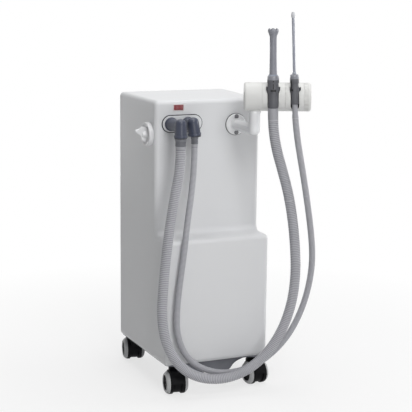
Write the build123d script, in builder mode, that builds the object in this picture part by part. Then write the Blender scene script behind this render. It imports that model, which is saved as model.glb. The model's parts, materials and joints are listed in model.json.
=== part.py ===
from build123d import *
from math import atan, cos, pi, radians, sin, tan
import os

os.makedirs("parts", exist_ok=True)

# Mobile dental suction unit, in millimetres, +Z up, standing on its casters at Z = 0.
# Lengths in X are from the cabinet's centre line, and lengths in Y from its lower front face.

# Cover, one moulded shell that widens towards the back
COVER_TOP = 748.0
COVER_BOTTOM = 77.0
COVER_DEPTH = 330.0
UPPER_FRONT_WIDTH = 290.0
BACK_WIDTH = 310.0
LEDGE_DEPTH = 77.0
LEDGE_HEIGHT = 401.0
COVER_WALL = 3.0
SIDE_EDGE_RADIUS = 12.0
TOP_EDGE_RADIUS = 12.5
LEDGE_COVE_RADIUS = 16.0
LEDGE_EDGE_RADIUS = 12.5
LOWER_CORNER_RADIUS = 14.0
RIM_TRIM = 4.0

# Gaps and fits
FIT_GAP = 0.05
SMALL_GAP = 0.3
HOLE_GAP = 0.3

# Back panel of folded sheet with its openings
PANEL_WIDTH = 256.0
PANEL_TOP_MARGIN = 36.0
PANEL_BOTTOM_MARGIN = 35.0
PANEL_THICKNESS = 2.0
PANEL_LAP = 12.0
PANEL_CORNER_RADIUS = 12.0
LOUVRE_LENGTH = 78.0
LOUVRE_WIDTH = 6.0
LOUVRE_PITCH = 17.0
LOUVRE_ROWS = 8
LOUVRE_COLUMN_OFFSET = 52.0
LOUVRE_MIDDLE_HEIGHT = 500.0

# Steel base plate with the pressed tray between the casters
BASE_THICKNESS = 3.0
BASE_INSET = 5.0
BASE_CORNER_RADIUS = 12.0
BELLY_TOP_WIDTH = 112.0
BELLY_BOTTOM_WIDTH = 84.0
BELLY_BOTTOM_HEIGHT = 40.0
BELLY_FRONT = 22.0
BELLY_BACK = 300.0
BELLY_SLOPE_INSET = 10.0
TRAY_CORNER_RADIUS = 24.0
TRAY_WALL = 2.0

# Twin wheel casters
WHEEL_RADIUS = 30.0
WHEEL_WIDTH = 18.5
WHEEL_GAP = 20.6
WHEEL_SHOULDER_RADIUS = 5.0
WHEEL_DISH_RADIUS = 19.0
WHEEL_DISH_DEPTH = 3.0
WHEEL_HUB_RADIUS = 8.0
AXLE_RADIUS = 4.0
CASTER_TRAIL = 20.0
CASTER_INSET_SIDE = 33.0
CASTER_INSET_END = 29.0
KINGPIN_RADIUS = 4.0
KINGPIN_LENGTH = 24.0
CASTER_PLATE_SIZE = 42.0
CASTER_PLATE_THICKNESS = 3.0
FENDER_GAP = 1.0
FENDER_THICKNESS = 2.2
HOOD_BOSS_RADIUS = 13.0
HOOD_BOSS_HEIGHT = 14.0
HOOD_WEB_RADIUS = 14.0

# Suction connections on the upper front face
PLATE_MIDDLE_X = -71.7
PLATE_HEIGHT_Z = 688.5
PLATE_LENGTH = 106.0
PLATE_WIDTH = 41.0
PLATE_THICKNESS = 3.0
GASKET_MARGIN = 2.2
GASKET_THICKNESS = 1.5
LARGE_SOCKET_X = -103.0
SMALL_SOCKET_X = -54.0
LARGE_ELBOW_REACH = 71.4
SMALL_ELBOW_REACH = 42.0
ELBOW_ROOT_RADIUS = 17.3
ELBOW_LEG_RADIUS = 15.6
ELBOW_BRANCH_RADIUS = 14.8
ELBOW_TOP_RISE = 20.0
ELBOW_LEG_DROP = 26.0
ELBOW_COLLAR_RADIUS = 16.9
ELBOW_COLLAR_HEIGHT = 6.0
SPIGOT_RADIUS = 12.0
SPIGOT_LENGTH = 23.0
SPIGOT_BORE = 9.5
LEG_BORE = 9.0
ELBOW_DOME_RADIUS = 12.0
CUFF_LENGTH = 21.5
LARGE_CUFF_RADIUS = 14.8
LARGE_CUFF_END_RADIUS = 13.6
SMALL_CUFF_RADIUS = 10.3
SMALL_CUFF_END_RADIUS = 8.9
CUFF_GROOVE = 1.2

# Hoses
LARGE_HOSE_RADIUS = 12.5
SMALL_HOSE_RADIUS = 8.0
ARC_SHARE = 0.45
HOSE_FIRST_RUN = 50.0
LARGE_HOSE_TOP = 716.0
SMALL_HOSE_TOP = 725.0
HOSE_END_TRIM = 2.0
HOSE_TAIL_SPARE = 4.0
HOSE_TAIL_GAP = 0.3
LARGE_HOSE_ROUTE = [
    (-121, -4, 522),
    (-139, -15, 446),
    (-151, -20, 366),
    (-160, -24, 288),
    (-166, -29, 212),
    (-152, -36, 134),
    (-108, -44, 72),
    (-41, -51, 44),
    (35, -57, 49),
    (103, -63, 90),
    (150, -69.5, 156),
    (176, -74, 234),
    (183, -77, 312),
    (177, -80, 388),
    (167, -82, 458),
    (153, -83, 524),
    (134, -83, 585),
    (118, -83, 634),
    (109, -83, 678),
]
SMALL_HOSE_ROUTE = [
    (-70, 13, 518),
    (-88, -4, 446),
    (-99, -13, 376),
    (-110, -15, 306),
    (-119, -16, 236),
    (-120, -18, 158),
    (-89, -23, 91),
    (-24, -27, 54),
    (50, -32, 50),
    (122, -37, 77),
    (179, -44, 131),
    (211, -56, 200),
    (227, -67, 271),
    (230, -78, 344),
    (218, -88, 418),
    (203, -95, 488),
    (188, -100, 556),
    (175, -102, 614),
    (167, -103, 650),
    (160, -104, 690),
]

# Power switch
SWITCH_X = -81.4
SWITCH_HEIGHT = 729.4
ROCKER_LENGTH = 23.8
ROCKER_WIDTH = 12.6
ROCKER_TILT = 7.0
ROCKER_PIVOT_DEPTH = 4.0
ROCKER_LIP = 2.2
ROCKER_DIP = 0.8
ROCKER_FOOT = 9.0
ROCKER_FOOT_DEPTH = 5.0
ROCKER_GAP = 0.7
ROCKER_PIN_RADIUS = 1.5
ROCKER_PIN_REACH = 0.9
BEZEL_RIM = 1.5
BEZEL_THICKNESS = 1.6
SWITCH_BODY_DEPTH = 18.0

# Flow regulator on the left wall
KNOB_Y = 112.0
KNOB_HEIGHT = 660.0
KNOB_RADIUS = 31.0
KNOB_SKIRT = 13.0
KNOB_DISH_DEPTH = 5.0
KNOB_LIP = 3.0
KNOB_HUB_RADIUS = 9.0
KNOB_HUB_REACH = 22.0
KNOB_REACH = 40.0
KNOB_GRIP_THICKNESS = 8.0
KNOB_GRIP_HALF = 18.0
SPINDLE_RADIUS = 4.0
SPINDLE_LENGTH = 18.0
VALVE_RADIUS = 18.0
VALVE_DEPTH = 40.0

# Holder arm on the upper front face
ARM_X = 77.0
ARM_HEIGHT = 681.0
ARM_RADIUS = 14.5
ARM_REACH = 114.5
ARM_BEND_RADIUS = 22.0
FLANGE_RADIUS = 27.5
FLANGE_THICKNESS = 6.0
FLANGE_SCREW_OFFSET = 20.5
ARM_COLLAR_RADIUS = 15.8
ARM_COLLAR_HEIGHT = 6.0
SWIVEL_PIN_RADIUS = 8.0
SWIVEL_PIN_LENGTH = 22.0

# Holder drum, turned on the arm towards the user
HOLDER_TURN = 22.8
DRUM_RADIUS = 35.7
DRUM_HEIGHT = 763.5
DRUM_LEFT_END = -27.5
DRUM_FIRST_SEAM = 17.3
DRUM_SECOND_SEAM = 74.4
DRUM_THIRD_SEAM = 121.0
DRUM_RIGHT_END = 138.0
DRUM_END_RADIUS = 5.0
DRUM_SEAM_CHAMFER = 0.7
MOUNT_FLAT = 0.8
MOUNT_BOSS_RADIUS = 15.0
HOLDER_FRONT_OFFSET = 31.0
LARGE_HOLDER_AT = 43.6
SMALL_HOLDER_AT = 97.0
LARGE_LEAN = 1.0
SMALL_LEAN = 2.5
TIE_ROD_RADIUS = 5.0
KNOB_RING_WIDTH = 1.4
KNOB_RING_DEPTH = 1.0
KNOB_RING_PITCH = 2.9
KNOB_RING_COUNT = 3

# Large handpiece, for the wide cannula
LARGE_GRIP_RADIUS = 13.2
LARGE_GRIP_BOTTOM = 738.4
LARGE_SHOULDER = 775.8
LARGE_BODY_RADIUS = 14.7
LARGE_BODY_TOP = 818.7
LARGE_BORE_RADIUS = 8.8
LARGE_SLIDE_HEIGHT = 13.6
LARGE_SLIDE_TRAVEL = 8.0
LARGE_EAR_REACH = 16.9
LARGE_TUBE_RADIUS = 8.6
LARGE_TUBE_ROOT_RADIUS = 9.8
LARGE_TUBE_BORE = 6.7
LARGE_TUBE_FLARE_START = 910.0
LARGE_TUBE_TOP = 933.0
LARGE_TUBE_FLARE_RADIUS = 13.2
FLARE_WALL = 1.6
FLARE_LIP = 2.4
SCALLOP_RADIUS = 3.0
SCALLOP_COUNT = 6
LARGE_WINDOW_WIDTH = 14.0

# Small handpiece, for the saliva ejector
SMALL_GRIP_RADIUS = 10.0
SMALL_GRIP_BOTTOM = 748.8
SMALL_SHOULDER = 777.6
SMALL_BODY_RADIUS = 11.2
SMALL_BODY_TOP = 822.0
SMALL_BORE_RADIUS = 3.75
SMALL_SLIDE_HEIGHT = 11.6
SMALL_SLIDE_TRAVEL = 8.0
SMALL_EAR_REACH = 13.6
SMALL_SLIDE_TURN = 50.0
SMALL_TUBE_RADIUS = 3.7
SMALL_TUBE_BORE = 2.5
SMALL_TUBE_TOP = 966.0
SMALL_TIP_RADIUS = 5.3
SMALL_TIP_BOTTOM = 959.0
SMALL_TIP_TOP = 973.4
TIP_SLOT_WIDTH = 1.0
TIP_SLOT_DEPTH = 4.0
SMALL_WINDOW_WIDTH = 10.0

# Shared by both handpieces
SLIDE_WALL = 1.1
SLIDE_SEAT = 2.2
BODY_RECESS = 1.1
EAR_WIDTH = 6.0
EAR_HEIGHT = 5.4
WINDOW_SILL = 1.4
WINDOW_HEIGHT = 6.0
TUBE_SOCKET_DEPTH = 26.0
HANDPIECE_GAP = 0.6
BODY_NOSE_TAPER = 1.5
BODY_NOSE_HEIGHT = 7.0

# Vacuum set inside
PUMP_HEIGHT = 205.0
PUMP_HEAD_RADIUS = 92.0
PUMP_HEAD_FRONT = 62.0
PUMP_HEAD_BACK = 118.0
MOTOR_RADIUS = 56.0
MOTOR_BACK = 268.0
MOTOR_FIN_COUNT = 6
MOTOR_FIN_DEPTH = 4.0
MOTOR_FIN_FRONT_MARGIN = 20.0
MOTOR_FIN_BACK_MARGIN = 30.0
MOTOR_GROOVE_WIDTH = 10.0
MOTOR_EDGE = 10.0
PEDESTAL_MARGIN = 20.0
PEDESTAL_WIDTH = 72.0
PUMP_PORT_X = 60.0
PUMP_PORT_Y = 100.0
MOUNT_HEIGHT = 15.0
MOUNT_RADIUS = 12.0
MOUNT_SPACING_X = 150.0
MOUNT_SPACING_Y = 150.0
MOUNT_MIDDLE_Y = 190.0
BRACKET_THICKNESS = 4.0
BRACKET_MARGIN = 12.0
PIPE_DROP = 40.0
SHELF_THICKNESS = 3.0
SHELF_WIDTH = 254.0
SHELF_FRONT = 135.0
SHELF_BACK = 296.0
SHELF_FOOT = 12.0
TANK_Y = 212.0
TANK_RADIUS = 72.0
TANK_HEIGHT = 200.0
TANK_BOTTOM_RADIUS = 14.0
TANK_WALL = 3.0
LID_HEIGHT = 22.0
LID_OVERHANG = 5.0
PORT_LENGTH = 14.0
PORT_OFFSET_X = 34.0
PIPE_RADIUS = 13.0
PIPE_BORE = 10.5
PIPE_BEND = 18.0
PIPE_RISE = 33.0
SUCTION_PORT_X = -72.0
SUCTION_PORT_Y = 104.0
MANIFOLD_LEFT = -121.0
MANIFOLD_RIGHT = -30.0
MANIFOLD_BACK = 126.0
MANIFOLD_BOTTOM = 640.0
MANIFOLD_TOP = 712.0
MANIFOLD_WALL = 4.0
SILENCER_X = -93.0
SILENCER_HEIGHT = 272.0
SILENCER_RADIUS = 27.0
SILENCER_NECK = 14.0
EXHAUST_NECK_RADIUS = 15.0
EXHAUST_RADIUS = 19.0
EXHAUST_REACH = 25.0
EXHAUST_BORE = 12.0
OUTLET_FLANGE = 4.5
DRAIN_RADIUS = 8.0
DRAIN_REACH = 18.0
DRAIN_HEIGHT = 180.0
DRAIN_PORT_RISE = 16.0
DRAIN_STUB = 12.0
DRAIN_LINE_Y = 313.0
DRAIN_BEND = 12.0
DRAIN_BORE = 6.0
CONTROL_WIDTH = 140.0
CONTROL_DEPTH = 62.0
CONTROL_HEIGHT = 110.0
CONTROL_BOTTOM = 578.0
CONTROL_CORNER_RADIUS = 6.0

# Mains inlet in the back panel
INLET_X = 82.0
INLET_HEIGHT = 150.0
INLET_WIDTH = 27.0
INLET_RISE = 19.8
INLET_DEPTH = 24.0
INLET_RECESS = 16.0
INLET_WALL = 1.6
INLET_FLANGE = 3.0
PIN_SPACING = 7.0
PIN_DROP = 2.0
PIN_THICKNESS = 2.0
PIN_LENGTH = 11.0

# Screws, all of one size
SCREW_RADIUS = 2.5
SCREW_HEAD_RADIUS = 4.6
SCREW_HEAD_HEIGHT = 2.6
SCREW_LENGTH = 10.0
SCREW_SOCKET_RADIUS = 1.6


def half_width(y):
    """Half the cover's width at a distance back from the lower front face."""
    slope = (BACK_WIDTH - UPPER_FRONT_WIDTH) / 2 / (COVER_DEPTH - LEDGE_DEPTH)
    return UPPER_FRONT_WIDTH / 2 + slope * (y - LEDGE_DEPTH)


# Reach of the whole object each way, so that the origin is under its middle
TURN = radians(HOLDER_TURN)
ARM_Y = LEDGE_DEPTH - ARM_REACH
LEFT_REACH = half_width(KNOB_Y) + KNOB_REACH
RIGHT_REACH = ARM_X + DRUM_RIGHT_END * cos(TURN) + DRUM_RADIUS * sin(TURN)
FRONT_REACH = DRUM_RIGHT_END * sin(TURN) + DRUM_RADIUS * cos(TURN) - ARM_Y
BACK_REACH = COVER_DEPTH + PANEL_THICKNESS + EXHAUST_REACH
ORIGIN_X = (RIGHT_REACH - LEFT_REACH) / 2
ORIGIN_Y = (BACK_REACH - FRONT_REACH) / 2


def at(x, y, z):
    """A place in the model from the centre line, the lower front face and the floor."""
    return Vector(x - ORIGIN_X, y - ORIGIN_Y, z)


def level(height):
    """A level plane at a height above the floor."""
    return Plane(origin=at(0, 0, height))


def bar(plane, radius, amount, mode=Mode.ADD):
    """Round bar or bore that stands on a plane."""
    with BuildSketch(plane) as face:
        Circle(radius)
    extrude(face.sketch, amount=amount, mode=mode)


def block(low, high, mode=Mode.ADD):
    """Box between two corners."""
    with BuildSketch(Plane(origin=low)) as face:
        Rectangle(high.X - low.X, high.Y - low.Y, align=(Align.MIN, Align.MIN))
    extrude(face.sketch, amount=high.Z - low.Z, mode=mode)


def holes(plane, spots, radius, depth):
    """Row of round holes that go into a plane."""
    with BuildSketch(plane) as face:
        with Locations(*spots):
            Circle(radius)
    extrude(face.sketch, amount=-depth, mode=Mode.SUBTRACT)


def lathe(origin, along):
    """Plane for a turned section, with its Y along the axis."""
    across = Vector(0, 0, 1) if abs(along.Z) < 0.5 else Vector(1, 0, 0)
    side = across.cross(along).normalized()
    return Plane(origin=origin, x_dir=along.cross(side), z_dir=side)


def turn(plane, points, mode=Mode.ADD):
    """Turned body from its section of radius and height."""
    with BuildSketch(plane) as face:
        with BuildLine():
            Polyline(*points, close=True)
        make_face()
    revolve(face.sketch, axis=Axis(plane.origin, plane.y_dir), mode=mode)


def dome(radius, top, edge, steps=4):
    """Points of a rounded end for a section, from the side to the axis."""
    turns = [radians(90 * step / steps) for step in range(steps + 1)]
    return [(radius - edge + edge * cos(t), top - edge + edge * sin(t)) for t in turns]


def bend_radii(points):
    """Radius of each bend, so that the arcs leave a short straight run between."""
    radii = []
    for before, corner, after in zip(points, points[1:], points[2:]):
        first = corner - before
        second = after - corner
        half_turn = radians(first.get_angle(second)) / 2
        radii.append(ARC_SHARE * min(first.length, second.length) / tan(half_turn))
    return radii


def tube(points, radii, radius, bore=0):
    """Round tube along a route, with a bore if one is given."""
    with BuildLine() as route:
        FilletPolyline(*points, radius=radii)
    path = route.wire()
    with BuildSketch(Plane(origin=path @ 0, z_dir=path % 0)) as face:
        Circle(radius)
        if bore:
            Circle(bore, mode=Mode.SUBTRACT)
    sweep(face.sketch, path=path)
    return path.length


# Planes that pieces are drawn on
wall_angle = atan((half_width(COVER_DEPTH) - half_width(0)) / COVER_DEPTH)
side_plane = Plane(origin=at(0, 0, 0), x_dir=(0, 1, 0), z_dir=(1, 0, 0))
upper_front = Plane(origin=at(0, LEDGE_DEPTH, 0), x_dir=(1, 0, 0), z_dir=(0, -1, 0))
back_face = Plane(origin=at(0, COVER_DEPTH, 0), x_dir=(-1, 0, 0), z_dir=(0, 1, 0))
panel_face = back_face.offset(PANEL_THICKNESS)
knob_plane = Plane(
    origin=at(-half_width(KNOB_Y), KNOB_Y, KNOB_HEIGHT),
    x_dir=(sin(wall_angle), -cos(wall_angle), 0),
    z_dir=(-cos(wall_angle), -sin(wall_angle), 0),
)
UP = Vector(0, 0, 1)
BACKWARD = Vector(0, 1, 0)
along_drum = Vector(cos(TURN), -sin(TURN), 0)
to_front = Vector(-sin(TURN), -cos(TURN), 0)
drum_centre = at(ARM_X, ARM_Y, DRUM_HEIGHT)
drum_section = lathe(drum_centre, along_drum)


def handpiece_base(distance, lean):
    """Plane on the floor across a handpiece's axis, which leans back along the drum."""
    rise = cos(radians(lean))
    drift = sin(radians(lean))
    axis = UP * rise - along_drum * drift
    seat = drum_centre + along_drum * distance + to_front * HOLDER_FRONT_OFFSET
    return Plane(origin=seat - axis * DRUM_HEIGHT, x_dir=along_drum * rise + UP * drift, z_dir=axis)


large_base = handpiece_base(LARGE_HOLDER_AT, LARGE_LEAN)
small_base = handpiece_base(SMALL_HOLDER_AT, SMALL_LEAN)

# Places of the parts that pass through the cover's walls
socket_spots = [(LARGE_SOCKET_X, PLATE_HEIGHT_Z), (SMALL_SOCKET_X, PLATE_HEIGHT_Z)]
flange_screw_spots = [
    (ARM_X, ARM_HEIGHT + FLANGE_SCREW_OFFSET),
    (ARM_X, ARM_HEIGHT - FLANGE_SCREW_OFFSET),
]
panel_top = COVER_TOP - PANEL_TOP_MARGIN
panel_bottom = COVER_BOTTOM + PANEL_BOTTOM_MARGIN
panel_height = panel_top - panel_bottom
panel_middle = (panel_top + panel_bottom) / 2
panel_screw_x = PANEL_WIDTH / 2 - PANEL_LAP / 2
panel_screw_z = panel_height / 2 - PANEL_LAP / 2
panel_screw_spots = [
    (side * panel_screw_x, panel_middle + row * panel_screw_z)
    for side in (-1, 1)
    for row in (-1, 0, 1)
]
pocket_length = ROCKER_LENGTH + 3 * ROCKER_GAP
pocket_width = ROCKER_WIDTH + ROCKER_GAP
switch_length = pocket_length + 2 * BEZEL_RIM
switch_width = pocket_width + 2 * BEZEL_RIM
switch_body_length = pocket_length + BEZEL_RIM
switch_body_width = pocket_width + BEZEL_RIM
screw_hole = SCREW_RADIUS + HOLE_GAP


def cover_form(inset):
    """Outer form of the cover, drawn smaller all round by the inset."""
    low = COVER_BOTTOM - RIM_TRIM + inset
    top = COVER_TOP - inset
    step = LEDGE_HEIGHT - inset
    front = inset
    upper = LEDGE_DEPTH + inset
    back = COVER_DEPTH - inset
    with BuildPart() as form:
        with BuildSketch(Plane(origin=at(0, 0, 0))):
            with BuildLine():
                Polyline(
                    (-half_width(front) + inset, front),
                    (half_width(front) - inset, front),
                    (half_width(back) - inset, back),
                    (-half_width(back) + inset, back),
                    close=True,
                )
            make_face()
        extrude(amount=COVER_TOP + inset)
        with BuildSketch(side_plane) as profile:
            with BuildLine():
                Polyline(
                    (front, low),
                    (front, step),
                    (upper, step),
                    (upper, top),
                    (back, top),
                    (back, low),
                    close=True,
                )
            make_face()
            corners = [
                (front, low, LOWER_CORNER_RADIUS - inset),
                (front, step, LEDGE_EDGE_RADIUS - inset),
                (upper, step, LEDGE_COVE_RADIUS + inset),
                (upper, top, TOP_EDGE_RADIUS - inset),
                (back, top, TOP_EDGE_RADIUS - inset),
                (back, low, LOWER_CORNER_RADIUS - inset),
            ]
            for y, z, radius in corners:
                fillet(profile.vertices().sort_by_distance((y, z))[0], radius)
        extrude(amount=BACK_WIDTH, both=True, mode=Mode.INTERSECT)
        for face in (form.faces().sort_by(Axis.X)[0], form.faces().sort_by(Axis.X)[-1]):
            fillet(face.edges(), SIDE_EDGE_RADIUS - inset)
    return form


# Cover with its back window and the holes for what is fitted to it
with BuildPart() as cover:
    add(cover_form(0).part)
    add(cover_form(COVER_WALL).part, mode=Mode.SUBTRACT)
    split(bisect_by=Plane(origin=at(0, 0, COVER_BOTTOM)), keep=Keep.TOP)
    with BuildSketch(back_face):
        with Locations((0, panel_middle)):
            RectangleRounded(
                PANEL_WIDTH - 2 * PANEL_LAP,
                panel_height - 2 * PANEL_LAP,
                PANEL_CORNER_RADIUS,
            )
    extrude(amount=-2 * COVER_WALL, mode=Mode.SUBTRACT)
    holes(upper_front, socket_spots, SPIGOT_RADIUS + HOLE_GAP, 2 * COVER_WALL)
    holes(upper_front, flange_screw_spots, screw_hole, 2 * COVER_WALL)
    holes(back_face, panel_screw_spots, screw_hole, 2 * COVER_WALL)
    holes(knob_plane, [(0, 0)], SPINDLE_RADIUS + HOLE_GAP, 2 * COVER_WALL)
    with BuildSketch(upper_front):
        with Locations((SWITCH_X, SWITCH_HEIGHT)):
            Rectangle(switch_body_length + HOLE_GAP, switch_body_width + HOLE_GAP)
    extrude(amount=-2 * COVER_WALL, mode=Mode.SUBTRACT)
cover.part.label = "cover"
export_step(cover.part, "parts/cover.step")

# Back panel with louvres and the openings for air, water and power
inlet_hole_width = INLET_WIDTH + 2 * HOLE_GAP
inlet_hole_rise = INLET_RISE + 2 * HOLE_GAP
with BuildPart() as back_panel:
    with BuildSketch(back_face):
        with Locations((0, panel_middle)):
            RectangleRounded(PANEL_WIDTH, panel_height, PANEL_CORNER_RADIUS)
        with Locations((0, LOUVRE_MIDDLE_HEIGHT)):
            with GridLocations(2 * LOUVRE_COLUMN_OFFSET, LOUVRE_PITCH, 2, LOUVRE_ROWS):
                SlotOverall(LOUVRE_LENGTH, LOUVRE_WIDTH, mode=Mode.SUBTRACT)
        with Locations((-INLET_X, INLET_HEIGHT)):
            Rectangle(inlet_hole_width, inlet_hole_rise, mode=Mode.SUBTRACT)
    extrude(amount=PANEL_THICKNESS)
    exhaust_spot = (-SILENCER_X, SILENCER_HEIGHT)
    holes(panel_face, [exhaust_spot], EXHAUST_NECK_RADIUS + HOLE_GAP, PANEL_THICKNESS)
    holes(panel_face, [(0, DRAIN_HEIGHT)], DRAIN_RADIUS + HOLE_GAP, PANEL_THICKNESS)
    holes(panel_face, panel_screw_spots, screw_hole, PANEL_THICKNESS)
back_panel.part.label = "back_panel"
export_step(back_panel.part, "parts/back_panel.step")

# Base plate with the sump that hangs between the casters
plate_plane = Plane(origin=at(0, 0, COVER_BOTTOM - BASE_THICKNESS))
belly_middle = (BELLY_FRONT + BELLY_BACK) / 2
belly_length = BELLY_BACK - BELLY_FRONT


def belly(wall, rise):
    """Sump form with sloped sides, drawn smaller all round by the wall."""
    with BuildSketch(Plane(origin=at(0, 0, BELLY_BOTTOM_HEIGHT + wall))) as low:
        with Locations((0, belly_middle)):
            RectangleRounded(
                BELLY_BOTTOM_WIDTH - 2 * wall,
                belly_length - 2 * BELLY_SLOPE_INSET - 2 * wall,
                TRAY_CORNER_RADIUS - wall,
            )
    with BuildSketch(Plane(origin=at(0, 0, COVER_BOTTOM - BASE_THICKNESS + rise))) as high:
        with Locations((0, belly_middle)):
            RectangleRounded(
                BELLY_TOP_WIDTH - 2 * wall,
                belly_length - 2 * wall,
                TRAY_CORNER_RADIUS - wall,
            )
    return loft([low.sketch.face(), high.sketch.face()], mode=Mode.PRIVATE)


with BuildPart() as base_pan:
    with BuildSketch(plate_plane):
        with BuildLine():
            Polyline(
                (-half_width(0) + BASE_INSET, BASE_INSET),
                (half_width(0) - BASE_INSET, BASE_INSET),
                (half_width(COVER_DEPTH) - BASE_INSET, COVER_DEPTH - BASE_INSET),
                (-half_width(COVER_DEPTH) + BASE_INSET, COVER_DEPTH - BASE_INSET),
                close=True,
            )
        plate = make_face()
        fillet(plate.vertices(), BASE_CORNER_RADIUS)
    extrude(amount=BASE_THICKNESS)
    add(belly(0, 0))
    add(belly(TRAY_WALL, BASE_THICKNESS), mode=Mode.SUBTRACT)
base_pan.part.label = "base_pan"
export_step(base_pan.part, "parts/base_pan.step")

# Shelf that carries the separator over the motor, so that its pipes reach the manifold
pipe_level = MANIFOLD_BOTTOM - PIPE_DROP
port_end = pipe_level - PIPE_RISE
lid_top = port_end - PORT_LENGTH
lid_bottom = lid_top - LID_HEIGHT
shelf_top = lid_bottom - TANK_HEIGHT
leg_inside = SHELF_WIDTH / 2 - SHELF_THICKNESS
with BuildPart() as shelf:
    with BuildSketch(Plane(origin=at(0, SHELF_FRONT, 0), x_dir=(1, 0, 0), z_dir=(0, -1, 0))):
        with BuildLine():
            Polyline(
                (-SHELF_WIDTH / 2 - SHELF_FOOT, COVER_BOTTOM),
                (-leg_inside, COVER_BOTTOM),
                (-leg_inside, shelf_top - SHELF_THICKNESS),
                (leg_inside, shelf_top - SHELF_THICKNESS),
                (leg_inside, COVER_BOTTOM),
                (SHELF_WIDTH / 2 + SHELF_FOOT, COVER_BOTTOM),
                (SHELF_WIDTH / 2 + SHELF_FOOT, COVER_BOTTOM + SHELF_THICKNESS),
                (SHELF_WIDTH / 2, COVER_BOTTOM + SHELF_THICKNESS),
                (SHELF_WIDTH / 2, shelf_top),
                (-SHELF_WIDTH / 2, shelf_top),
                (-SHELF_WIDTH / 2, COVER_BOTTOM + SHELF_THICKNESS),
                (-SHELF_WIDTH / 2 - SHELF_FOOT, COVER_BOTTOM + SHELF_THICKNESS),
                close=True,
            )
        make_face()
    extrude(amount=SHELF_FRONT - SHELF_BACK)
shelf.part.label = "shelf"
export_step(shelf.part, "parts/shelf.step")

# Rubber mounts under the motor's foot plate
with BuildPart() as pump_mounts:
    with BuildSketch(Plane(origin=at(0, MOUNT_MIDDLE_Y, COVER_BOTTOM))):
        with GridLocations(MOUNT_SPACING_X, MOUNT_SPACING_Y, 2, 2):
            Circle(MOUNT_RADIUS)
    extrude(amount=MOUNT_HEIGHT)
pump_mounts.part.label = "pump_mounts"
export_step(pump_mounts.part, "parts/pump_mounts.step")

# Motor with cooling grooves, pedestal and foot plate
foot_top = COVER_BOTTOM + MOUNT_HEIGHT + BRACKET_THICKNESS
foot_x = MOUNT_SPACING_X / 2 + BRACKET_MARGIN
foot_y = MOUNT_SPACING_Y / 2 + BRACKET_MARGIN
motor_length = MOTOR_BACK - PUMP_HEAD_BACK
motor_section = [(0, 0), (MOTOR_RADIUS, 0)]
groove_span = motor_length - MOTOR_FIN_FRONT_MARGIN - MOTOR_FIN_BACK_MARGIN
half_groove = MOTOR_GROOVE_WIDTH / 2
for fin in range(MOTOR_FIN_COUNT):
    groove = MOTOR_FIN_FRONT_MARGIN + groove_span * fin / (MOTOR_FIN_COUNT - 1)
    motor_section.append((MOTOR_RADIUS, groove - half_groove))
    motor_section.append((MOTOR_RADIUS - MOTOR_FIN_DEPTH, groove - half_groove))
    motor_section.append((MOTOR_RADIUS - MOTOR_FIN_DEPTH, groove + half_groove))
    motor_section.append((MOTOR_RADIUS, groove + half_groove))
motor_section.append((MOTOR_RADIUS, motor_length - MOTOR_EDGE))
motor_section.append((MOTOR_RADIUS - MOTOR_EDGE, motor_length))
motor_section.append((0, motor_length))
with BuildPart() as pump_motor:
    turn(lathe(at(0, PUMP_HEAD_BACK, PUMP_HEIGHT), BACKWARD), motor_section)
    block(
        at(-foot_x, MOUNT_MIDDLE_Y - foot_y, foot_top - BRACKET_THICKNESS),
        at(foot_x, MOUNT_MIDDLE_Y + foot_y, foot_top),
    )
    block(
        at(-PEDESTAL_WIDTH / 2, PUMP_HEAD_BACK + PEDESTAL_MARGIN, foot_top),
        at(PEDESTAL_WIDTH / 2, MOTOR_BACK - PEDESTAL_MARGIN, PUMP_HEIGHT),
    )
pump_motor.part.label = "pump_motor"
export_step(pump_motor.part, "parts/pump_motor.step")

# Blower head with the ports for the vacuum pipe and the silencer
head_depth = PUMP_HEAD_BACK - PUMP_HEAD_FRONT
port_top = PUMP_HEIGHT + PUMP_HEAD_RADIUS
with BuildPart() as pump_head:
    turn(
        lathe(at(0, PUMP_HEAD_FRONT, PUMP_HEIGHT), BACKWARD),
        [
            (0, 0),
            (PUMP_HEAD_RADIUS * 0.3, 0),
            (PUMP_HEAD_RADIUS * 0.34, head_depth * 0.14),
            (PUMP_HEAD_RADIUS * 0.86, head_depth * 0.14),
            (PUMP_HEAD_RADIUS * 0.9, head_depth * 0.3),
            (PUMP_HEAD_RADIUS, head_depth * 0.36),
            (PUMP_HEAD_RADIUS, head_depth),
            (0, head_depth),
        ],
    )
    bar(Plane(origin=at(PUMP_PORT_X, PUMP_PORT_Y, PUMP_HEIGHT)), PIPE_RADIUS, PUMP_HEAD_RADIUS)
    bar(
        Plane(origin=at(SILENCER_X, PUMP_HEAD_BACK, SILENCER_HEIGHT), z_dir=(0, -1, 0)),
        EXHAUST_NECK_RADIUS,
        head_depth / 2,
    )
    block(
        at(SILENCER_X, PUMP_HEAD_BACK - head_depth / 2, SILENCER_HEIGHT - EXHAUST_NECK_RADIUS),
        at(-PUMP_HEAD_RADIUS / 2, PUMP_HEAD_BACK, SILENCER_HEIGHT),
    )
pump_head.part.label = "pump_head"
export_step(pump_head.part, "parts/pump_head.step")

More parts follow.
